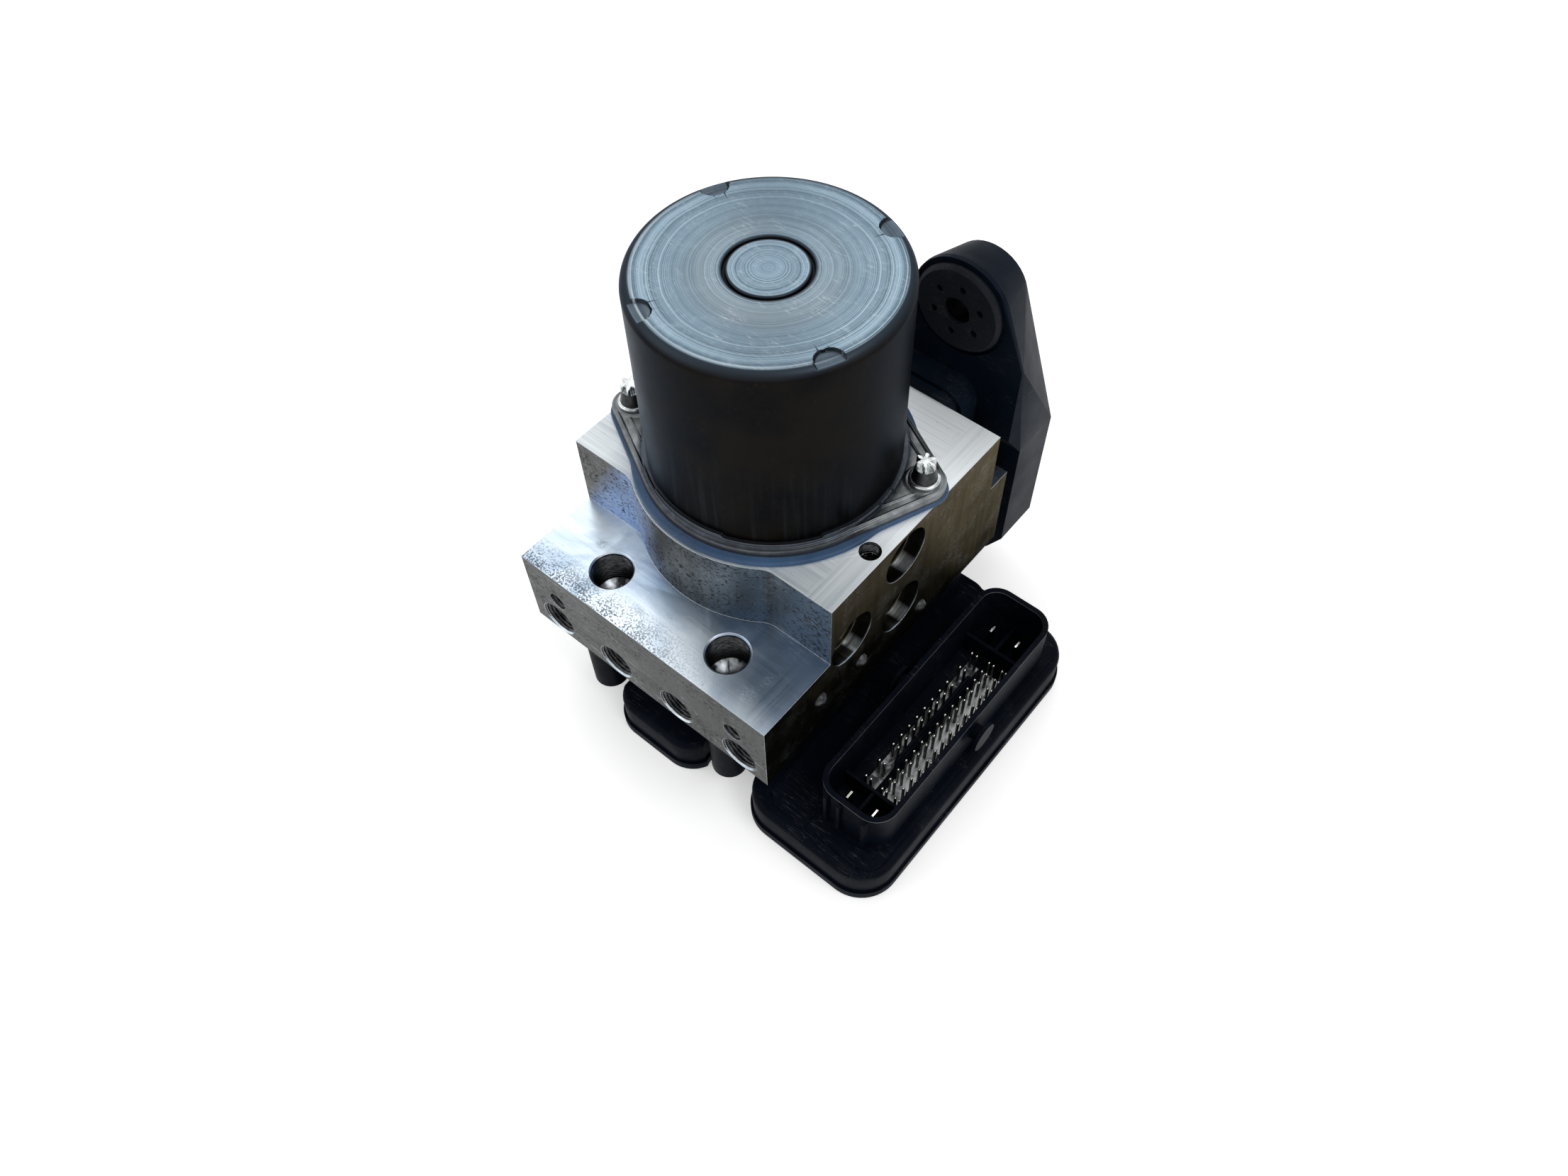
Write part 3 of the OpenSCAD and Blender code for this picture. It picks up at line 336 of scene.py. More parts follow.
def makeFlecks():
    # Small dark flecks: a sharp threshold on noise, thinned out by a broad patch noise.
    given, end = newGroup("flecks", ["Mask"], Scale=900.0, Cover=0.4, Patch=70.0)
    small = noise(given["Vector"], given["Scale"], 3.0, 0.62)
    patch = noise(given["Vector"], given["Patch"], 2.0, 0.5)
    level = plus(small, times(less(patch, 0.5), 0.35))
    threshold = less(0.78, times(given["Cover"], 0.4))
    return finishGroup(end, Mask=clamped(less(level, threshold), 0.0, 0.05))


def makeScratches():
    # Long thin scratches in many directions: three turned, stretched noises, each cut to its thin crest.
    given, end = newGroup("scratches", ["Mask"])
    lines = []
    for turn, seed in ((0.5, 0.0), (1.7, 3.1), (2.6, 7.7)):
        moved = node(end.id_data, "ShaderNodeVectorMath", {0: given["Vector"], 1: (seed, seed, seed)},
                     operation="ADD").outputs[0]
        line = noise(stretched(moved, (60, 1500, 1500), turn), 1.0, 2.0, 0.4)
        crestHighlight = clamped(unsigned(less(line, 0.5)), 0.0, 0.012, 1.0, 0.0)
        lines.append(times(crestHighlight, clamped(noise(moved, 90.0, 2.0), 0.56, 0.64)))
    return finishGroup(end, Mask=most(*lines))


def makeDust():
    # Dust specks and a thin film, both only where the surface looks up.
    given, end = newGroup("dust", ["Mask"], Specks=0.3, Film=0.3)
    up = clamped(facing(end.id_data)[2], -0.2, 0.9, 0.25, 1.0)
    specks = times(clamped(noise(given["Vector"], 2300.0, 1.0), 0.70, 0.74), given["Specks"])
    film = times(clamped(noise(given["Vector"], 120.0, 4.0, 0.7), 0.35, 0.8), given["Film"])
    return finishGroup(end, Mask=times(most(specks, film), up))


cutterLines = makeCutterLines()
turnedRings = makeTurnedRings()
flecks = makeFlecks()
scratches = makeScratches()
dust = makeDust()


# holes in the block, in mm: the middle of each mouth or, for the four wheel ports, their spacing and height
holes = {
    "masterPort": {"x": 23.0, "y": -49.5, "mouth": 62.7, "radius": 6.5, "depth": 12.6},
    "wheelPort": {"spacing": 25.0, "z": 38.3, "mouth": -63.0, "radius": 6.0, "depth": 11.6},
    "frontHole": {"x": 35.5, "z": 49.7, "mouth": -63.0, "radius": 3.2, "depth": 11.5},
    "topHole": {"x": 43.5, "y": -11.5, "mouth": 89.2, "radius": 3.2, "depth": 4.7},
    "bays": [(0, 78.8), (0, 52.7), (-24.2, 64.2)], "bayRadius": 9.4,   # y and z in both flanks
    "pitch": 1.0, "margin": 0.2,   # the colour of a hole reaches this far round its wall
}

# milled aluminium: lines on the motor face, swirl polish on the step, flecked walls, a dull right side whose
# warm tan is a painted reflection
blockLook = {
    "topDark": (0.21, 0.27, 0.32), "topLight": (0.93, 0.98, 1.0),
    "stepDark": (0.36, 0.45, 0.55), "stepLight": (0.76, 0.84, 0.90), "stepShade": (0.095, 0.160, 0.265),
    "wallDark": (0.050, 0.052, 0.052), "wallLight": (0.115, 0.119, 0.118),
    "paintedWallLight": (0.250, 0.345, 0.560), "paintedWallReflection": (0.150, 0.215, 0.290),
    "portFace": (0.030, 0.032, 0.032), "portLight": (0.064, 0.069, 0.068),
    "rightDark": (0.012, 0.012, 0.010), "rightWarmReflection": (0.118, 0.102, 0.069),
    "fleck": (0.020, 0.019, 0.019), "scratch": (0.80, 0.83, 0.86), "dullTint": (0.42, 0.41, 0.39),
    "thread": (0.42, 0.44, 0.42), "paintedBoreShade": (0.026, 0.027, 0.029), "seat": (0.40, 0.43, 0.46),
    "bay": (0.62, 0.68, 0.70), "bayDark": (0.022, 0.021, 0.018),
}


def boreMasks(place, h):
    # Masks of the front bores, the two ports in the step, the hole in the motor face and the round bays.
    x, y, z = axes(place)
    wheel, front, master, top = h["wheelPort"], h["frontHole"], h["masterPort"], h["topHole"]
    spacing, more = wheel["spacing"] * mm, h["margin"]
    along = calc("FRACT", calc("DIVIDE", plus(x, 2 * spacing), spacing))
    along = times(less(along, 0.5), spacing)
    inFront = most(insideCircle(along, z, (0, wheel["z"]), wheel["radius"] + more),
                   insideCircle(unsigned(x), z, (front["x"], front["z"]), front["radius"] + more))
    inFront = times(inFront, band(y, -62.7, -62.4, -47, -46))
    inStep = times(insideCircle(unsigned(x), y, (master["x"], master["y"]), master["radius"] + more),
                   band(z, 40, 41, 62.0, 62.2))
    inTop = times(insideCircle(x, y, (top["x"], top["y"]), top["radius"] + more), ramp(z, 88.9, 88.6))
    bays = most(*[insideCircle(y, z, centre, h["bayRadius"]) for centre in h["bays"]])
    return inFront, inStep, inTop, times(bays, ramp(unsigned(x), 47.8, 47.5))


def makeBlockMaterial(look):
    made, shader, place = newMaterial("milledAluminium", metallic=1.0)
    x, y, z = axes(place)
    flat = facing(made.node_tree, "True Normal")
    smooth = facing(made.node_tree)
    up = clamped(flat[2], 0.7, 0.9)
    upright = clamped(unsigned(flat[2]), 0.5, 0.3)
    isTop = times(up, ramp(z, 85, 87))
    isRight = times(clamped(flat[0], 0.75, 0.95), ramp(x, 47.4, 47.7))
    isPort = times(upright, ramp(y, -62.4, -62.8))
    isUpperWall = times(upright, ramp(z, 62.6, 62.9))

    # motor face: cutter lines that turn across at the right edge, and a painted reflection of light that
    # makes it paler towards the back and the left
    linesAlong = useGroup(cutterLines, place)["Value"]
    linesAcross = useGroup(cutterLines, stretched(place, (1, 1, 1), math.pi / 2))["Value"]
    crossed = ramp(plus(x, times(noise(place, 90.0), 6 * mm)), 40.5, 42.5)
    topLines = blendValue(crossed, linesAlong, linesAcross)
    paintedLightToBack = most(ramp(plus(times(x, 0.35), y), -40, 12), ramp(x, -24, -38, 0.0, 0.62))
    topTone = plus(times(clamped(topLines, 0.32, 0.68), 0.4), times(paintedLightToBack, 0.72))
    topColour = graded(topTone, 0.05, 0.95, look["topDark"], look["topLight"])

    # step: clouds and swirls, shaded near the wall that stands on it
    swirl = clamped(noise(place, 30.0, 5.0, 0.62, 2.2), 0.30, 0.70)
    cloud = clamped(noise(place, 17.0, 3.0, 0.5, 0.9), 0.34, 0.66)
    stepTone = plus(times(swirl, 0.6), times(cloud, 0.45), times(less(linesAlong, 0.5), 0.5))
    nearWall = most(times(ramp(y, -52.5, -42.5), band(x, -30, -8, 26, 44)),
                    times(ramp(x, 12, 34), ramp(plus(y, times(x, 0.25)), -56, -44)))
    stepColour = layered(graded(stepTone, 0.1, 0.95, look["stepDark"], look["stepLight"]),
                         (times(nearWall, 0.75), look["stepShade"]))

    # walls: painted light falls on the upper wall's left part, and a painted blue reflection grows on the
    # bulge towards the right, where the wall faces right
    upLines = noise(stretched(place, (900, 900, 30)), 1.0, 3.0, 0.6)
    patchy = noise(place, 55.0, 4.0, 0.6)
    wallTone = plus(times(patchy, 0.6), times(upLines, 0.4))
    paintedWallLight = times(ramp(plus(x, times(less(86.5 * mm, z), 0.6)), -36, -29), clamped(patchy, 0.3, 0.6, 0.6, 1.0),
                 band(x, -47.8, -47.2, -21, -8), isUpperWall, ramp(y, -18, -28))
    paintedSheenToRight = most(clamped(smooth[0], 0.05, 0.6), ramp(x, 24, 34))
    wallColour = layered(graded(wallTone, 0.36, 0.64, look["wallDark"], look["wallLight"]),
                         (times(paintedWallLight, 0.85), look["paintedWallLight"]), (times(paintedSheenToRight, 0.6), look["paintedWallReflection"]))
    portColour = graded(wallTone, 0.34, 0.66, look["portFace"], look["portLight"])
    # right face: a painted warm reflection, darker towards the bottom
    rightLines = noise(stretched(place, (30, 500, 24)), 1.0, 3.0, 0.6)
    rightTone = plus(times(patchy, 0.32), times(rightLines, 0.28),
                     ramp(plus(z, times(y, 0.3)), 30, 95, -0.02, 0.42))
    rightReflectionColour = graded(rightTone, 0.34, 0.74, look["rightDark"], look["rightWarmReflection"])

    # flecks of corrosion: dense on the walls, in clumps along the step's front edge
    slanted = stretched(place, (0.45, 0.45, 1.0), 0.6)
    wallFlecks = useGroup(flecks, slanted, Scale=1700.0, Cover=0.56, Patch=110.0)["Mask"]
    faceFlecks = useGroup(flecks, slanted, Scale=1700.0, Cover=0.50, Patch=80.0)["Mask"]
    flatFlecks = useGroup(flecks, place, Scale=1500.0, Cover=0.68, Patch=170.0)["Mask"]
    clump = most(times(ramp(y, -52, -61.5), ramp(x, 30, -10)), clamped(noise(place, 38.0, 2.0), 0.66, 0.74))
    specks = clamped(noise(place, 1250.0, 2.0, 0.6), 0.735, 0.765)
    dirt = most(times(wallFlecks, isUpperWall, 0.9), times(specks, up, 0.7), times(faceFlecks, upright, 0.7),
                times(flatFlecks, up, clump, 0.75))
    dirt = times(dirt, less(1.0, times(isRight, 0.75)))
    cut = useGroup(scratches, place)["Mask"]

    # bores: painted shade inside, with the bright cone at the foot of the two ports in the step
    inFront, inStep, inTop, bays = boreMasks(place, holes)
    seat = times(inStep, ramp(z, 50.5, 50.0), clamped(noise(place, 260.0, 2.0), 0.40, 0.55))
    # round bays: a painted lit crescent where the bay's wall looks up, painted shade on the rest of it
    ringed = clamped(noise(stretched(place, (2200, 60, 60)), 1.0, 2.0), 0.3, 0.6, 0.5, 1.0)
    litCrescent = times(clamped(plus(smooth[2], times(smooth[1], -0.35)), 1.0, 1.05), ringed)
    base = layered(
        stepColour, (isTop, topColour), (upright, wallColour), (isPort, portColour), (isRight, rightReflectionColour),
        (dirt, look["fleck"]), (times(cut, 0.4), look["scratch"]),
        (most(inFront, inStep, inTop), look["paintedBoreShade"]),
        (times(inTop, clamped(upLines, 0.52, 0.6)), look["thread"]), (times(seat, 0.9), look["seat"]),
        (bays, blendColour(litCrescent, look["bayDark"], look["bay"])))

    rough = plus(clamped(topLines, 0.2, 0.8, 0.40, 0.24), times(upright, 0.10), times(dirt, 0.3))
    feed(shader["Specular Tint"], blendColour(most(isRight, bays), (1, 1, 1), look["dullTint"]))
    feed(shader["Metallic"], calc("MULTIPLY_ADD", isTop, -0.8, 1.0))
    height = plus(blendValue(up, times(upLines, 0.6), times(topLines, 0.6)), times(dirt, -1.2))
    setLook(shader, base, rough, height, 0.4, 0.08)
    return made


edgeLook = {"dark": (0.5, 0.52, 0.54), "light": (0.92, 0.94, 0.96), "rough": 0.22}


def makeEdgeMaterial(look):
    # The thin bright line along milled edges: partly a burr, partly a painted highlight.
    made, shader, place = newMaterial("milledEdgeBurrAndGlint", metallic=1.0)
    setLook(shader, blendColour(noise(place, 700.0, 3.0), look["dark"], look["light"]), look["rough"])
    return made


# motor can: turned top, drawn side that is darker and browner
canLook = {
    # painted light among these: shade for the sectors, a highlight for the glare, a sky reflection for the
    # shoulder, a highlight line for the edge
    "ring": (0.088, 0.130, 0.168), "top": (0.180, 0.250, 0.308), "pale": (0.335, 0.435, 0.490),
    "glare": (0.13, 0.19, 0.24), "warm": (0.185, 0.215, 0.230), "sectorShade": (0.062, 0.086, 0.108),
    "side": (0.0050, 0.0052, 0.0060), "brown": (0.0110, 0.0094, 0.0078), "lilac": (0.140, 0.172, 0.230),
    "streak": (0.045, 0.052, 0.062), "edge": (0.30, 0.35, 0.38), "shoulder": (0.026, 0.034, 0.044),
    "scratch": (0.6, 0.62, 0.64), "speck": (0.034, 0.031, 0.027), "tint": (0.55, 0.58, 0.62),
    # rings of the top, in mm from its middle: where each sets in, is full, starts to fade and ends
    # the first ring is painted shade over the shallow dish
    "dishShadeRing": (13.0, 17.5, 21.5, 28.5), "warmRing": (11.8, 13.5, 17.0, 24.5),
    "brow": (33.6, 33.9, 34.1, 34.5),
}


def makeCanMaterial(look):
    made, shader, place = newMaterial("turnedCanSteel", metallic=0.95, specular=0.1, tint=look["tint"])
    x, y, z = axes(place)
    lookUp = facing(made.node_tree)[2]
    up = times(clamped(lookUp, 0.955, 0.995), ramp(z, 156.2, 156.7))
    rings = useGroup(turnedRings, place)
    radius = rings["Radius"]
    cut = useGroup(scratches, place)["Mask"]
    patch = noise(place, 42.0, 4.0, 0.62)
    mottled = noise(place, 620.0, 3.0, 0.7)
    around = noise(place, 16.0, 2.0, 0.5)

    # top: fine and broad rings, painted shade over the shallow dish, painted shade in a sector on both sides
    # of one diameter for the turned surface's reflection, and a painted glare on the brushed middle
    sideways = unsigned(plus(times(x, 0.75), times(y, 0.66)))
    sectorShade = clamped(calc("DIVIDE", sideways, most(radius, 4 * mm)), 0.75, 0.15)
    brushed = noise(stretched(place, (90, 1600, 300), 0.55), 1.0, 2.0)
    top = layered(
        graded(rings["Broad"], 0.36, 0.62, look["ring"], look["top"]),
        (times(clamped(rings["Fine"], 0.46, 0.70), clamped(around, 0.3, 0.65, 0.15, 0.75)), look["pale"]),
        (times(clamped(mottled, 0.5, 0.8), 0.3), look["pale"]),
        (times(band(radius, *look["dishShadeRing"]), clamped(patch, 0.35, 0.65, 0.2, 0.6)), look["ring"]),
        (times(sectorShade, ramp(radius, 6, 14), 0.42), look["sectorShade"]),
        (times(band(radius, *look["warmRing"]), clamped(around, 0.35, 0.6, 0.15, 0.55)), look["warm"]),
        (times(ramp(radius, 8.5, 1.5), clamped(patch, 0.3, 0.6, 0.3, 0.9),
               clamped(brushed, 0.35, 0.6, 0.45, 1.0)), look["glare"]),
        (times(cut, 0.35), look["scratch"]))

    # side: streaks low at the front, a painted pale bluish sheen at the left, and a painted sky reflection
    # where the shoulder looks up
    drawn = noise(stretched(place, (600, 600, 20)), 1.0, 3.0, 0.6)
    low = times(ramp(z, 128, 102), ramp(y, 0, -20))
    leftward = times(ramp(x, -10, -30), ramp(z, 150, 115, 0.25, 1.0), ramp(y, 12, -12))
    side = layered(
        graded(patch, 0.36, 0.6, look["side"], look["brown"]),
        (times(clamped(drawn, 0.48, 0.72), low, 0.25), look["streak"]),
        (times(leftward, clamped(mottled, 0.3, 0.7, 0.35, 0.8)), look["lilac"]),
        (times(clamped(mottled, 0.60, 0.76), 0.25), look["speck"]),
        (clamped(lookUp, 0.35, 0.9), look["shoulder"]))
    # a painted highlight line along the top's rounded edge, towards the front
    toFront = ramp(plus(times(x, 0.35), y), 4, -22)
    brow = times(band(radius, *look["brow"]), toFront, clamped(patch, 0.3, 0.6, 0.35, 0.85))
    rough = blendValue(up, clamped(patch, 0.3, 0.7, 0.34, 0.46), clamped(rings["Fine"], 0.3, 0.7, 0.44, 0.32))
    turned = times(calc("MULTIPLY_ADD", rings["Broad"], 2.0, rings["Fine"]), up)
    setLook(shader, layered(side, (up, top), (brow, look["edge"])), rough,
            plus(turned, times(mottled, 0.25)), 0.35, 0.12)
    return made


def makePlainSteel(name, light, dark, rough, scale=300.0, metallic=1.0):
    # Steel with a cloudy tone and a fine tooth: light and dark are mixed by noise.
    made, shader, place = newMaterial(name, metallic=metallic)
    tone = noise(place, scale, 4.0, 0.6)
    fine = noise(place, scale * 6, 2.0, 0.5)
    spots = useGroup(flecks, place, Scale=scale * 4, Cover=0.25, Patch=200.0)["Mask"]
    base = layered(graded(tone, 0.3, 0.7, dark, light), (times(spots, 0.5), [c * 0.4 for c in dark]))
    setLook(shader, base, clamped(tone, 0.25, 0.75, rough[1], rough[0]), plus(fine, tone), 0.12, 0.08)
    return made


flangeLook = {
    "webDark": (0.115, 0.122, 0.126), "webLight": (0.220, 0.232, 0.236),
    "footDark": (0.018, 0.021, 0.027), "footLight": (0.052, 0.062, 0.078), "crestHighlight": (0.095, 0.108, 0.125),
    "tint": (0.55, 0.57, 0.6), "footEdge": (38.8, 40.2), "crestHeight": (93.65, 93.85),   # mm
}


def makeFlangeMaterial(look):
    # Pressed steel: nearly black round the can's foot, lighter on the ears, with a painted highlight on the
    # raised rim and all else that stands above the plate.
    made, shader, place = newMaterial("flangeSteel", metallic=0.9, specular=0.2, tint=look["tint"])
    radius = useGroup(turnedRings, place)["Radius"]
    tone = noise(place, 260.0, 4.0, 0.6)
    base = layered(
        graded(tone, 0.35, 0.7, look["footDark"], look["footLight"]),
        (ramp(radius, *look["footEdge"]), graded(tone, 0.3, 0.7, look["webDark"], look["webLight"])),
        (times(ramp(axes(place)[2], *look["crestHeight"]), 0.45), look["crestHighlight"]))
    setLook(shader, base, clamped(tone, 0.25, 0.75, 0.42, 0.3), noise(place, 1500.0, 2.0, 0.5), 0.12, 0.08)
    return made


# the connector's rim gets a painted pale highlight: its height, the x it starts at, in mm, and its colour
shroudRimHighlight = {"height": 32.7, "inner": 49.0, "colour": (0.260, 0.280, 0.300)}
dustColour, rubColour = (0.22, 0.21, 0.2), (0.35, 0.35, 0.36)


def makePlastic(name, base, sheen, rough, grain=2600.0, film=0.12, specks=0.35, gloss=0.3, rim=None):
    # Moulded plastic or rubber: a fine grain in the bump, a cloudy sheen and dust where it looks up.
    # A rim gets a painted pale highlight only on the narrow slanted faces at its height.
    made, shader, place = newMaterial(name, specular=gloss)
    cloud = noise(place, 55.0, 3.0, 0.6)
    tooth = noise(place, grain, 2.0, 0.6)
    dusty = useGroup(dust, place, Specks=specks, Film=film)["Mask"]
    rub = useGroup(scratches, place)["Mask"]
    grey = layered(graded(cloud, 0.3, 0.7, base, sheen), (times(dusty, 0.4), dustColour),
                   (times(rub, 0.12), rubColour))
    if rim:
        x, _, z = axes(place)
        top, inner = rim["height"], rim["inner"]
        slant = clamped(facing(made.node_tree, "True Normal")[2], 0.98, 0.93)
        paintedRimHighlight = times(band(z, top - 0.35, top - 0.1, top + 0.1, top + 0.2), ramp(x, inner, inner + 1),
                     slant, clamped(cloud, 0.3, 0.6, 0.45, 1.0))
        grey = layered(grey, (paintedRimHighlight, rim["colour"]))
    roughness = plus(clamped(cloud, 0.3, 0.7, rough[1], rough[0]), times(dusty, 0.3))
    setLook(shader, grey, roughness, plus(tooth, times(cloud, 0.3)), 0.22, 0.05)
    return made


pinLook = {
    "shaftDark": (0.03, 0.03, 0.028), "shaftLight": (0.16, 0.155, 0.14),
    "tipDark": (0.62, 0.61, 0.57), "tipLight": (0.95, 0.94, 0.90), "tipHeight": (20.6, 21.0),   # mm
}


def makePinMaterial(look):
    # bright round tips on dark shafts
    made, shader, place = newMaterial("tinnedPin", metallic=1.0)
    tone = noise(place, 1100.0, 3.0)
    base = layered(
        graded(tone, 0.4, 0.7, look["shaftDark"], look["shaftLight"]),
        (ramp(axes(place)[2], *look["tipHeight"]), graded(tone, 0.3, 0.6, look["tipDark"], look["tipLight"])))
    setLook(shader, base, clamped(tone, 0.3, 0.7, 0.3, 0.16), tone, 0.1, 0.05)
    return made


matLook = {"dark": (0.045, 0.046, 0.05), "light": (0.66, 0.68, 0.69), "rightHalf": (68.5, 71.0)}   # x in mm


def makeMatMaterial(look):
    # the cloudy silver floor between the pins, much lighter on the connector's right half
    made, shader, place = newMaterial("cloudyMat", metallic=0.6)
    cloud = noise(place, 210.0, 4.0, 0.62, 0.8)
    fine = noise(place, 1500.0, 2.0)
    bright = plus(clamped(cloud, 0.36, 0.60), ramp(axes(place)[0], *look["rightHalf"], -0.35, 0.12))
    setLook(shader, graded(bright, 0.0, 1.0, look["dark"], look["light"]), clamped(fine, 0.3, 0.7, 0.35, 0.5),
            plus(cloud, fine), 0.3, 0.1)
    return made


looks = {
    "block": makeBlockMaterial(blockLook),
    "edge": makeEdgeMaterial(edgeLook),
    "can": makeCanMaterial(canLook),
    "flange": makeFlangeMaterial(flangeLook),
    "pin": makePinMaterial(pinLook),
    "mat": makeMatMaterial(matLook),
}

# name, light colour, dark colour, roughness from light to dark, then the clouds' scale
steels = {
    # the can's narrow groove is near black: painted shade
    "groove": ("grooveSteel", (0.012, 0.013, 0.014), (0.006, 0.006, 0.007), (0.4, 0.55)),
    "zinc": ("brightZinc", (0.74, 0.77, 0.77), (0.30, 0.32, 0.33), (0.14, 0.3), 420.0),
    "shank": ("dullShank", (0.055, 0.058, 0.06), (0.018, 0.019, 0.02), (0.3, 0.45), 420.0),
    "plug": ("turnedPlug", (0.085, 0.077, 0.062), (0.024, 0.021, 0.017), (0.22, 0.36), 200.0),
    "ball": ("dullBall", (0.085, 0.090, 0.095), (0.020, 0.020, 0.020), (0.3, 0.42), 500.0),
    "thread": ("cutThread", (0.075, 0.080, 0.084), (0.012, 0.013, 0.014), (0.2, 0.34), 500.0),
    "spring": ("springSteel", (0.34, 0.34, 0.35), (0.2, 0.2, 0.21), (0.25, 0.4)),
    "ground": ("groundSteel", (0.66, 0.66, 0.67), (0.5, 0.5, 0.51), (0.16, 0.28)),
    "core": ("laminatedSteel", (0.30, 0.30, 0.31), (0.2, 0.2, 0.21), (0.4, 0.55)),
    "magnet": ("magnetGrey", (0.12, 0.12, 0.125), (0.07, 0.07, 0.075), (0.5, 0.65), 300.0, 0.3),
    "copper": ("copperWire", (0.70, 0.36, 0.20), (0.5, 0.22, 0.11), (0.22, 0.36)),
    "sleeve": ("dullSleeve", (0.02, 0.02, 0.021), (0.01, 0.01, 0.011), (0.4, 0.55)),
}
for look, values in steels.items():
    looks[look] = makePlainSteel(*values)

# name, base colour, sheen, roughness, then what differs from makePlastic's own values
plastics = {
    "seal": ("blueGreySeal", (0.023, 0.052, 0.110), (0.046, 0.104, 0.205), (0.36, 0.5), {"gloss": 0.22}),
    "box": ("blackMoulding", (0.0010, 0.0020, 0.0045), (0.0024, 0.0042, 0.0090), (0.36, 0.48),
            {"film": 0.02, "specks": 0.15, "gloss": 0.025, "rim": shroudRimHighlight}),
    "cover": ("coverMoulding", (0.0016, 0.0040, 0.0085), (0.0030, 0.0068, 0.0140), (0.40, 0.52),
              {"film": 0.02, "gloss": 0.025}),
    "bracket": ("satinCasting", (0.0022, 0.0048, 0.0098), (0.0044, 0.0092, 0.0180), (0.38, 0.5),
                {"grain": 1500.0, "film": 0.02, "specks": 0.1, "gloss": 0.03}),
    "rubber": ("dustyRubber", (0.0016, 0.0026, 0.0058), (0.0034, 0.0052, 0.0105), (0.55, 0.7),
               {"grain": 1800.0, "film": 0.05, "specks": 0.9, "gloss": 0.2}),
    "board": ("boardGreen", (0.012, 0.075, 0.03), (0.018, 0.1, 0.042), (0.2, 0.3), {}),
    "chip": ("chipBlack", (0.012, 0.012, 0.012), (0.02, 0.02, 0.02), (0.4, 0.5), {}),
    "coil": ("coilWrap", (0.20, 0.07, 0.02), (0.26, 0.1, 0.035), (0.3, 0.45), {}),
    "insulator": ("brownInsulator", (0.11, 0.05, 0.02), (0.15, 0.07, 0.03), (0.4, 0.5), {}),
    "carbon": ("pressedCarbon", (0.02, 0.02, 0.021), (0.035, 0.035, 0.036), (0.5, 0.6), {}),
}
for look, (*values, special) in plastics.items():
    looks[look] = makePlastic(*values, **special)
print("materials ready:", len(looks))


def addPiece(name, mesh, materials, body=root, replacing=()):
    # Links a finished mesh, gives it its materials, attaches it to what it rides on and hides the parts it
    # stands in for.
    made = bpy.data.objects.new(name, mesh)
    scene.collection.objects.link(made)
    for m in materials:
        mesh.materials.append(m)
    if body:
        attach(made, body)
    if replacing:
        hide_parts(*replacing)
    return made


def tidyMesh(mesh, sharp, flatten=False):
    # Merges doubled points, drops empty faces, turns faces outwards and shades them smooth up to an angle.
    work = bmesh.new()
    work.from_mesh(mesh)
    bmesh.ops.remove_doubles(work, verts=work.verts, dist=1e-6)
    bmesh.ops.dissolve_degenerate(work, edges=work.edges, dist=1e-7)
    if flatten:
        bmesh.ops.dissolve_limit(work, angle_limit=math.radians(0.4), verts=work.verts, edges=work.edges)
    bmesh.ops.recalc_face_normals(work, faces=work.faces)
    for f in work.faces:
        f.smooth = True
    work.to_mesh(mesh)
    work.free()
    mesh.set_sharp_from_angle(angle=math.radians(sharp))
    mesh.update()


def gridMesh(name, points, closeAlong=False, sharp=60.0):
    # A mesh from points[i, j], closed round j and, where asked, along i. Doubled points at poles are merged.
    rows, columns = points.shape[:2]
    index = np.arange(rows * columns).reshape(rows, columns)
    up = index if closeAlong else index[:-1]
    down = np.roll(index, -1, axis=0) if closeAlong else index[1:]
    quads = np.stack([up, np.roll(up, -1, 1), np.roll(down, -1, 1), down], -1)
    mesh = bpy.data.meshes.new(name)
    mesh.from_pydata((points * mm).reshape(-1, 3).tolist(), [], quads.reshape(-1, 4).tolist())
    tidyMesh(mesh, sharp)
    return mesh


def joinMeshes(name, meshes):
    # One mesh from several, with their material numbers kept.
    work = bmesh.new()
    for m in meshes:
        work.from_mesh(m)
    made = bpy.data.meshes.new(name)
    work.to_mesh(made)
    work.free()
    made.set_sharp_from_angle(angle=math.radians(45))
    return made


def dressNode(nodeName, materials, body=root, bevel=0.0, sharp=32.0, edgeSlot=-1):
    # Stands a merged, smooth-shaded copy in for a CAD node, with its sharp edges softened by a bevel in mm.
    mesh = nodes[nodeName].data.copy()
    mesh.materials.clear()
    tidyMesh(mesh, sharp, flatten=bevel > 0)
    mesh.polygons.foreach_set("material_index", np.zeros(len(mesh.polygons), np.int32))
    made = addPiece(nodeName + ".dressed", mesh, materials, body, [nodeName])
    if bevel > 0:
        soft = made.modifiers.new("bevel", "BEVEL")
        soft.width, soft.segments = bevel * mm, 2
        soft.limit_method, soft.angle_limit = "ANGLE", math.radians(40)
        soft.use_clamp_overlap = True
        soft.harden_normals = True
        soft.material = edgeSlot
    return made


def roundTurn(count):
    # directions spread evenly over a whole turn, in radians
    return np.linspace(0, 2 * np.pi, count, endpoint=False)


def roundAxis(radius, angle, z, centre=(0, 0)):
    # Points at these radii, angles and heights round an upright axis through the centre.
    x, y = centre[0] + radius * np.cos(angle), centre[1] + radius * np.sin(angle)
    return np.stack(np.broadcast_arrays(x, y, z), -1)


def arcPoints(cx, cz, r, start, stop, count):
    # Points of an arc, with its angles in degrees.
    a = np.radians(np.linspace(start, stop, count))
    return np.stack([cx + r * np.cos(a), cz + r * np.sin(a)], -1)


def eased(t):
    # 3 t squared - 2 t cubed: from nothing to one with a soft start and end, held outside 0..1
    t = np.clip(t, 0, 1)
    return t * t * (3 - 2 * t)


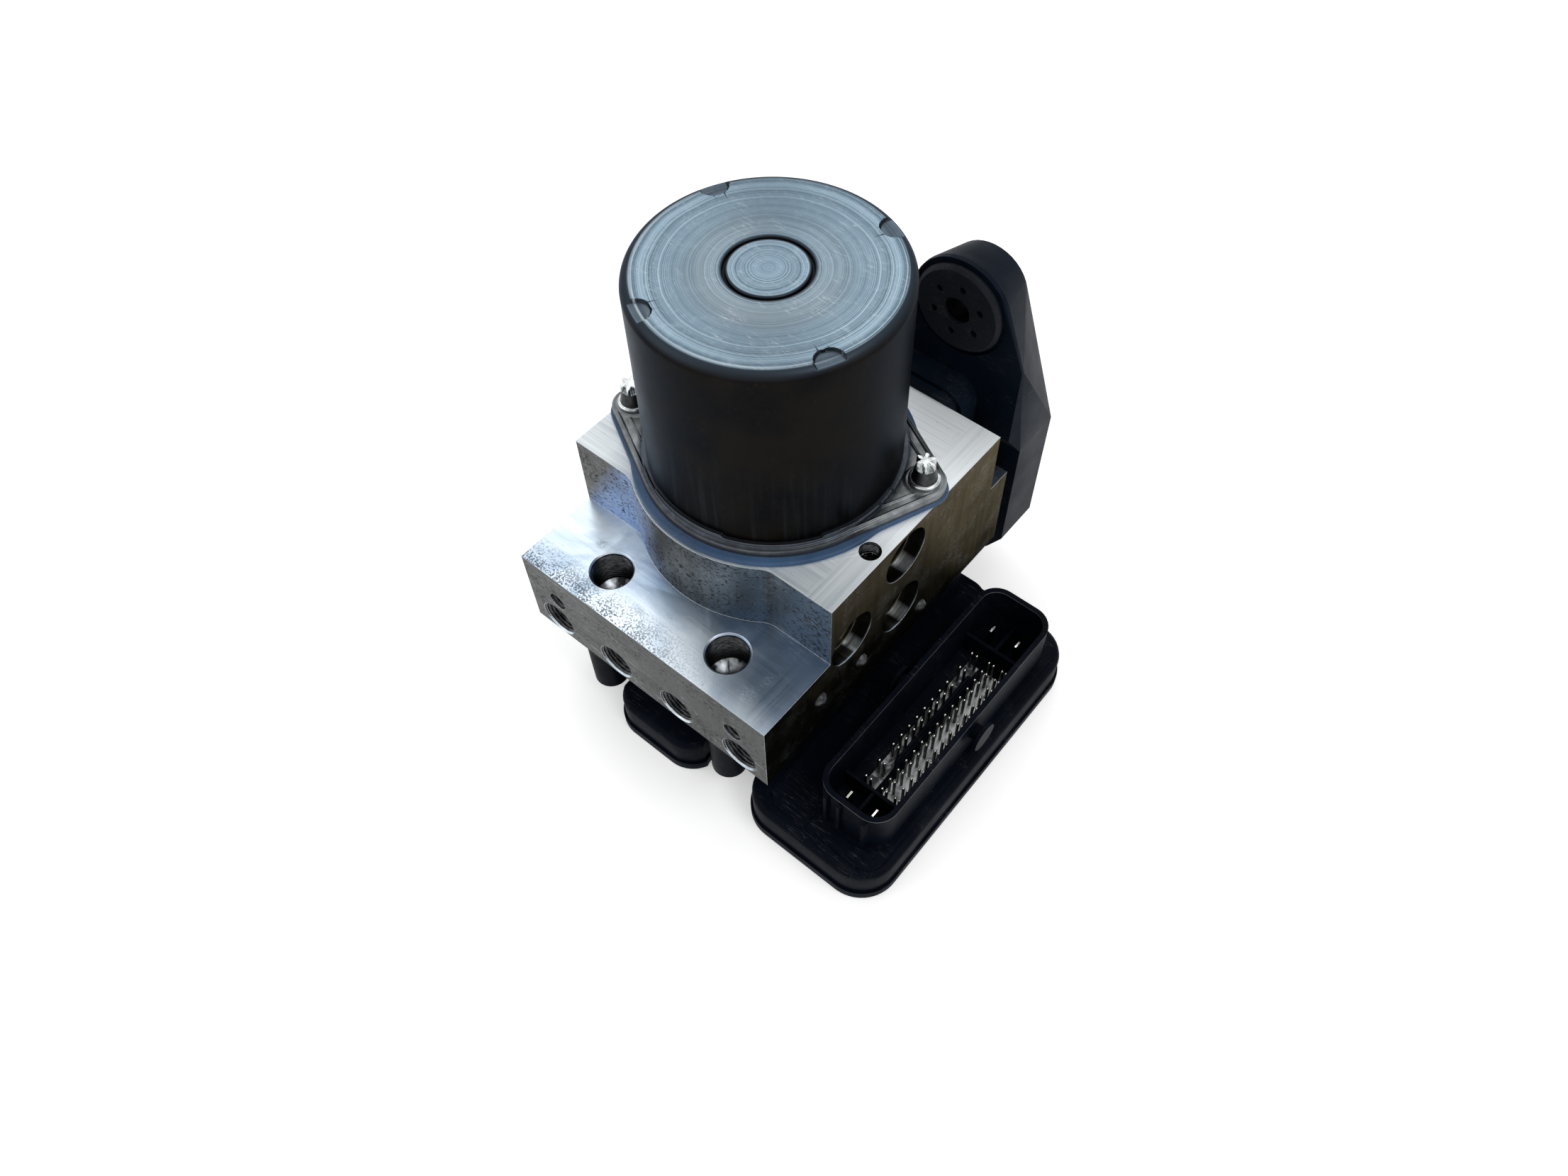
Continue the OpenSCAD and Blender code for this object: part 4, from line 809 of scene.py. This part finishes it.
# motor can: drawn cup with a flat top, a turned groove and four stamped half-moons in its edge
can = {
    "radius": 37.0, "wall": 2.2, "round": 3.1, "top": 157.2, "foot": 93.4,
    "grooveOut": 11.5, "grooveIn": 10.75, "grooveDepth": 0.9, "grooveSoft": 0.3,
    "crown": [(0.0, 0.0), (3.0, -0.02), (6.0, -0.08), (8.6, -0.1), (9.4, 0.0)],
    "dish": [(12.8, 0.0), (16.0, -0.12), (21.0, -0.30), (27.0, -0.18), (31.0, 0.0)],
    "moonAngles": [64.3, 154.3, 244.3, 334.3], "moonRadius": 4.0, "moonCentre": 34.9, "moonDepth": 0.85,
    "moonSlope": 0.35,
}


def canProfile(c):
    # The can's section: top from the pole outwards, rounded edge and wall, then the foot and back inside.
    top, radius, bend, wall, soft = c["top"], c["radius"], c["round"], c["wall"], c["grooveSoft"]
    grooveIn, grooveOut, floor = c["grooveIn"], c["grooveOut"], -c["grooveDepth"]
    groove = [(grooveIn - soft, 0.0), (grooveIn, -0.25), (grooveIn + 0.15, floor),
              (grooveOut - 0.15, floor), (grooveOut, -0.25), (grooveOut + soft, 0.0)]
    crown = np.array(c["crown"] + groove + c["dish"]) + (0, top)
    fine = np.linspace(31.3, radius - bend, 18)
    flat = np.stack([fine, np.full_like(fine, top)], -1)
    edge = arcPoints(radius - bend, top - bend, bend, 90, 0, 22)[1:]
    side = np.stack([np.full(14, radius), np.linspace(top - bend - 1, c["foot"], 14)], -1)
    inner, ceiling = radius - wall, top - wall - 0.02
    inside = np.array([(inner, c["foot"]), (inner, top - bend), (inner - 1.5, top - wall - 0.5),
                       (inner - 4, ceiling), (0.0, ceiling)])
    return np.concatenate([crown, flat, edge, side]), inside


def makeCan(c):
    # The section is turned, then points inside a half-moon's circle are pushed down by a soft step.
    outside, inside = canProfile(c)
    profile = np.concatenate([outside, inside])
    points = roundAxis(profile[:, 0:1], roundTurn(720), profile[:, 1:2])
    x, y, height = points[..., 0], points[..., 1], points[..., 2]
    isOutside = (np.arange(len(profile)) < len(outside))[:, None]
    for angle in np.radians(c["moonAngles"]):
        away = np.hypot(x - c["moonCentre"] * np.cos(angle), y - c["moonCentre"] * np.sin(angle))
        pressed = np.minimum(height, c["top"] - c["moonDepth"])
        share = eased((c["moonRadius"] - away) / c["moonSlope"])
        near = isOutside & (height > c["top"] - c["round"] * 0.8)
        height = np.where(near, height + (pressed - height) * share, height)
    mesh = gridMesh("motorCan", np.stack([x, y, height], -1), sharp=50)
    middles = np.array([f.center for f in mesh.polygons]) / mm
    r = np.hypot(middles[:, 0], middles[:, 1])
    # faces in the turned groove take the near-black steel, painted shade
    groove = (r > c["grooveIn"] - 0.05) & (r < c["grooveOut"] + 0.05) & (middles[:, 2] > c["top"] - 1.3)
    mesh.polygons.foreach_set("material_index", groove.astype(np.int32))
    return addPiece("motorCan", mesh, [looks["can"], looks["groove"]], replacing=["motor_can"])


makeCan(can)


# motor flange: a plate drawn out to two ears, with a raised rim, tabs at the can and ribs in each ear
flange = {
    "radius": 39.65, "ear": 6.45, "boltDistance": 44.583, "boltAngle": 19.6, "bottom": 90.99, "top": 93.44,
    "inner": 36.0, "rimWidth": 1.5, "rimRise": 0.5, "rimInset": 0.9,
    "tabAngles": [88.5, 169.5, 268.5, 349.5], "tabSpan": 39.0, "tabRise": 1.65,
    "footRise": 0.74, "footRadius": 38.6, "seatRadius": 5.6, "seatRise": 0.35, "edgeRound": 0.35,
    "ribRise": 0.5, "ribHalf": 0.7, "ribAcross": 5.2, "ribAlong": 44.0, "ribSlope": 1.05,
}


def boltTurns(f):
    # directions of the two bolts
    return [math.radians(f["boltAngle"] + side) for side in (0, 180)]


def boltPoints(f):
    return [(f["boltDistance"] * math.cos(a), f["boltDistance"] * math.sin(a)) for a in boltTurns(f)]


def flangeReach(angle, f):
    # Distance from the axis to the outline: the largest of the disc, the ear and their common tangents.
    r, e, d = f["radius"], f["ear"], f["boltDistance"]
    touch = math.acos((r - e) / d)
    start = math.atan2(e * math.sin(touch), d + e * math.cos(touch))
    out = np.full_like(angle, r)
    for turn in boltTurns(f):
        t = np.abs((angle - turn + np.pi) % (2 * np.pi) - np.pi)
        under = e * e - (d * np.sin(t)) ** 2
        ear = np.where((under > 0) & (t < 1), d * np.cos(t) + np.sqrt(np.maximum(under, 0)), 0)
        edge = np.where(np.abs(t - touch) < 1.2, r / np.maximum(np.cos(t - touch), 0.2), 0)
        out = np.where((t < touch) & (t > start), edge, out)
        out = np.where(t <= start, ear, out)
    return out


def makeFlange(f):
    # A height field on a polar grid: t runs from the can's wall to the outline, and its features add up.
    angle = roundTurn(720)
    reach = flangeReach(angle, f)
    t = np.linspace(0, 1, 56)[:, None]
    r = f["inner"] + (reach - f["inner"]) * t
    x, y = r * np.cos(angle), r * np.sin(angle)
    fromEdge = reach - r
    tab = np.zeros_like(angle)
    for middle in f["tabAngles"]:
        away = np.abs((np.degrees(angle) - middle + 180) % 360 - 180)
        tab = np.maximum(tab, np.clip((f["tabSpan"] / 2 + 0.6 - away) / 1.2, 0, 1))
    z = f["top"] + f["rimRise"] * eased(1 - np.abs(fromEdge - f["rimInset"]) / (f["rimWidth"] / 2))
    z += eased((f["footRadius"] + 0.25 - r) / 0.3) * (f["footRise"] + (f["tabRise"] - f["footRise"]) * tab)
    for a, bolt in zip(boltTurns(f), boltPoints(f)):
        fromBolt = np.hypot(x - bolt[0], y - bolt[1])
        seat = np.clip((f["seatRadius"] - fromBolt) / 0.5, 0, 1)
        z = z + seat * (f["top"] + f["seatRise"] - z)
        along = x * math.cos(a) + y * math.sin(a)
        across = np.abs(-x * math.sin(a) + y * math.cos(a))
        line = f["ribAcross"] + (f["ribAlong"] - along) * f["ribSlope"]
        rib = np.clip(1 - np.abs(across - line) / f["ribHalf"], 0, 1)
        rib = rib * np.clip((fromBolt - f["seatRadius"]) / 0.6, 0, 1)
        z = z + f["ribRise"] * eased(rib * (fromEdge > 1.2) * (r > f["footRadius"]))
    surface = np.stack([x, y, z], -1)
    outer, back = surface[-1:], surface[:1] * (1, 1, 0) + (0, 0, f["bottom"])
    rows, size = [surface], f["edgeRound"]
    for k in np.radians(np.linspace(0, 90, 5)[1:]):
        grown = 1 + size * math.sin(k) / reach[:, None]
        wider = outer * np.concatenate([grown, grown, np.ones_like(grown)], -1)
        rows.append(wider - (0, 0, size * (1 - math.cos(k))))
    rows += [rows[-1] * (1, 1, 0) + (0, 0, f["bottom"]), back]
    points = np.concatenate(rows)
    points[..., :2] *= (reach / (reach + size))[None, :, None]
    mesh = gridMesh("motorFlange", points, closeAlong=True)
    return addPiece("motorFlange", mesh, [looks["flange"]])


makeFlange(flange)

# seal: a soft ring squeezed out a little under the flange, and following it round the ears
seal = {"outer": 42.0, "beyond": 0.9, "inner": 35.0, "bottom": 89.22, "top": 90.97, "smoothing": 12}


def makeSeal(s):
    # outer edge = the larger of a circle and the flange's outline plus a margin, with a half round section
    half = (s["top"] - s["bottom"]) / 2
    angle = roundTurn(720)
    reach = np.maximum(s["outer"], flangeReach(angle, flange) + s["beyond"])
    for _ in range(s["smoothing"]):
        reach = (np.roll(reach, 1) + 2 * reach + np.roll(reach, -1)) / 4
    edge = arcPoints(-half, s["bottom"] + half, half, 80, -80, 10)
    bulge = [(reach + inward, z) for inward, z in edge]
    rows = [(s["inner"], s["top"]), *bulge, (s["inner"], s["bottom"])]
    points = np.stack([roundAxis(r, angle, z) for r, z in rows])
    mesh = gridMesh("motorSeal", points, closeAlong=True)
    return addPiece("motorSeal", mesh, [looks["seal"]], replacing=["motor_seal"])


makeSeal(seal)

# motor bolts: a domed washer face, a dull shank and a bright star head
bolt = {"washer": 4.6, "washerRise": 1.3, "shankFoot": 3.7, "shankTop": 2.7, "shankRise": 5.6,
        "lobes": 6, "star": 2.45, "lobeDepth": 0.72, "headRise": 2.6, "base": flange["top"] + 0.3}


def makeBolt(place, b):
    # Rings stacked along Z: round up to the shank's top, then r(angle) = star + depth * lobes for the head.
    angle = roundTurn(96)
    lobe = np.cos(b["lobes"] * angle)
    star = b["star"] + b["lobeDepth"] * np.sign(lobe) * np.abs(lobe) ** 0.8
    washer, foot, neck, base = b["washer"], b["shankFoot"], b["shankTop"], b["base"]
    face = base + b["washerRise"]
    head = base + b["shankRise"]
    top = head + b["headRise"]
    rings = [
        (0.0, base), (washer - 0.1, base), (washer, base + 0.15),
        (washer, face - 0.45), (washer - 0.15, face - 0.15), (washer - 0.5, face),
        (foot + 0.1, face + 0.05), (foot, face + 0.3), (neck + 0.35, head - 0.6), (neck + 0.1, head),
        (star * 0.97, head + 0.1), (star, head + 0.3), (star, top - 0.4), (star * 0.96, top - 0.1),
        (star * 0.86, top), (star * 0.5, top - 0.12), (0.0, top - 0.16),
    ]
    mesh = gridMesh("bolt", np.stack([roundAxis(r, angle, z, place) for r, z in rings]), sharp=45)
    z = np.array([f.center[2] for f in mesh.polygons]) / mm
    dull = (z > face + 0.1) & (z < head - 0.02)
    mesh.polygons.foreach_set("material_index", dull.astype(np.int32))
    return mesh


boltMeshes = [makeBolt(place, bolt) for place in boltPoints(flange)]
addPiece("motorBolts", joinMeshes("motorBolts", boltMeshes), [looks["zinc"], looks["shank"]],
         replacing=["motor_bolts"])
print("motor outside done")


def holeMouths(h):
    # Each hole's mouths and the direction out of it.
    master, wheel, front, top = h["masterPort"], h["wheelPort"], h["frontHole"], h["topHole"]
    wheelPlaces = [(i - 1.5) * wheel["spacing"] for i in range(4)]
    return [
        ("masterPort", [(side * master["x"], master["y"], master["mouth"]) for side in (-1, 1)], (0, 0, 1)),
        ("wheelPort", [(x, wheel["mouth"], wheel["z"]) for x in wheelPlaces], (0, -1, 0)),
        ("frontHole", [(side * front["x"], front["mouth"], front["z"]) for side in (-1, 1)], (0, -1, 0)),
        ("topHole", [(top["x"], top["y"], top["mouth"])], (0, 0, 1)),
    ]


thread = {
    "around": 56, "perTurn": 10, "start": 0.55, "fadeIn": 0.7, "fadeOut": 0.6, "clear": 0.04, "skin": 0.03,
}


def threadMesh(mouth, out, radius, depth, pitch):
    # A tube just inside the hole: its radius falls from the wall by a triangle wave of depth plus angle.
    angle = roundTurn(thread["around"])[None, :]
    down = np.linspace(thread["start"], depth, int(depth / pitch * thread["perTurn"]) + 1)[:, None]
    wave = np.abs(((down / pitch + angle / (2 * np.pi)) % 1.0) * 2 - 1)
    ends = np.clip((down - thread["start"]) / thread["fadeIn"], 0, 1)
    ends = ends * np.clip((depth - down) / thread["fadeOut"], 0, 1)
    local = roundAxis(radius - thread["clear"] - 0.5 * pitch * wave * ends, angle, -down)
    side, out = Vector((1, 0, 0)), Vector(out)
    directions = np.array([side, out.cross(side), out])
    return gridMesh("thread", local @ directions + np.array(mouth), sharp=80)


for hole, mouths, out in holeMouths(holes):
    made = [threadMesh(m, out, holes[hole]["radius"], holes[hole]["depth"], holes["pitch"]) for m in mouths]
    mesh = joinMeshes(hole + "Threads", made)
    mesh.flip_normals()
    piece = addPiece(hole + "Threads", mesh, [looks["thread"]])
    skin = piece.modifiers.new("skin", "SOLIDIFY")
    skin.thickness, skin.offset = thread["skin"] * mm, -1

dressNode("valve_block", [looks["block"], looks["edge"]], bevel=0.25, edgeSlot=1)
print("valve block done")


# signal pins: round wires with bullet tips, in the places of the CAD pins
pin = {"radius": 0.5, "tip": 0.55, "around": 12}


def pinPlaces(nodeName):
    # The middle and top of each loose pin in a node, found from its separate shells, and their bottom.
    work = bmesh.new()
    work.from_mesh(nodes[nodeName].data)
    bmesh.ops.remove_doubles(work, verts=work.verts, dist=2e-6)
    left, places = set(work.verts), []
    while left:
        stack, shell = [left.pop()], []
        while stack:
            v = stack.pop()
            shell.append(v.co.copy())
            for e in v.link_edges:
                w = e.other_vert(v)
                if w in left:
                    left.remove(w)
                    stack.append(w)
        co = np.array(shell) / mm
        places.append((co.min(0) + co.max(0)) / 2 * (1, 1, 0) + (0, 0, co[:, 2].max()))
    bottom = min(v.co.z for v in work.verts) / mm
    work.free()
    return sorted(places, key=lambda p: (round(p[0], 1), p[1])), bottom


def makePins(p):
    # Each pin's profile is a straight shaft and a quarter ellipse, turned about the pin's own axis.
    places, bottom = pinPlaces("signal_pins")
    turn = np.linspace(0, np.pi / 2, 6)
    tip = np.stack([p["radius"] * np.cos(turn), p["tip"] * (np.sin(turn) - 1)], -1)
    tip[-1, 0] = 0.0
    meshes = []
    for x, y, top in places:
        shaft = [(0.0, bottom), (p["radius"], bottom), (p["radius"], top - 3 * p["tip"])]
        profile = np.concatenate([shaft, tip + (0, top)])
        points = roundAxis(profile[:, 0:1], roundTurn(p["around"]), profile[:, 1:2], (x, y))
        meshes.append(gridMesh("pin", points))
    mesh = joinMeshes("signalPins", meshes)
    addPiece("signalPins", mesh, [looks["pin"]], replacing=["signal_pins"])


makePins(pin)

# node, slot, look, bevel in mm and the angle from which an edge is sharp
dressed = [
    ("box_housing", "black_plastic", "box", 0.22, 28),
    ("box_cover", "cover_plastic", "cover", 0.3, 32),
    ("pin_carrier", "black_plastic", "box", 0, 32),
    ("power_blades", "pin_silver", "pin", 0.12, 32),
    ("bracket", "bracket_black", "bracket", 0.5, 24),
    ("bush_right", "bush_rubber", "rubber", 0.2, 32),
    ("bush_left", "bush_rubber", "rubber", 0.2, 32),
    ("bush_sleeves", "sleeve_steel", "sleeve", 0, 32),
    ("bracket_bolts", "zinc_bolt", "zinc", 0.3, 32),
    ("box_screws", "zinc_bolt", "zinc", 0.15, 32),
    ("pump_plugs", "plug_steel", "plug", 0.3, 32),
    ("accumulator_caps", "plug_steel", "plug", 0.3, 32),
    ("ball_plugs", "plug_steel", "ball", 0, 32),
]
for nodeName, slotName, look, bevel, sharp in dressed:
    dressNode(nodeName, [looks[look]], bevel=bevel, sharp=sharp)
print("box and bracket done")


def makeSprings():
    # Dresses each spring: a pump spring is fixed where it stands, an accumulator's spring rides on the
    # housing with a mesh of its own.
    for side, outward in (("right", 1), ("left", -1)):
        for name in ("accumulator_spring_" + side, "pump_spring_upper_" + side, "pump_spring_lower_" + side):
            spring = dressNode(name, [looks["spring"]], body=None)
            if name.startswith("pump"):
                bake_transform(spring)
            else:
                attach(spring, root)
                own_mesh(spring)


makeSprings()
print("springs done")

inner = {
    "mat": ["pin_mats"],
    "seal": ["box_gasket"],
    "ground": ["motor_shaft", "eccentric_rings", "upper_bearing", "lower_bearing", "end_bearing",
               "pump_piston_upper_right", "pump_piston_upper_left", "pump_piston_lower_right",
               "pump_piston_lower_left", "accumulator_piston_right", "accumulator_piston_left",
               "inlet_valves", "outlet_valves", "circuit_valves", "pressure_sensor"],
    "spring": ["brush_springs"],
    "core": ["armature_core"], "magnet": ["field_magnets"], "copper": ["armature_windings", "commutator"],
    "insulator": ["brush_plate"], "carbon": ["carbon_brushes"], "coil": ["valve_coils"],
    "board": ["circuit_board"], "chip": ["board_parts"], "box": ["motor_contact"], "flange": ["motor_flange"],
}
for look, names in inner.items():
    for name in names:
        nodes[name].data.materials.clear()
        nodes[name].data.materials.append(looks[look])
print("inner pieces painted")
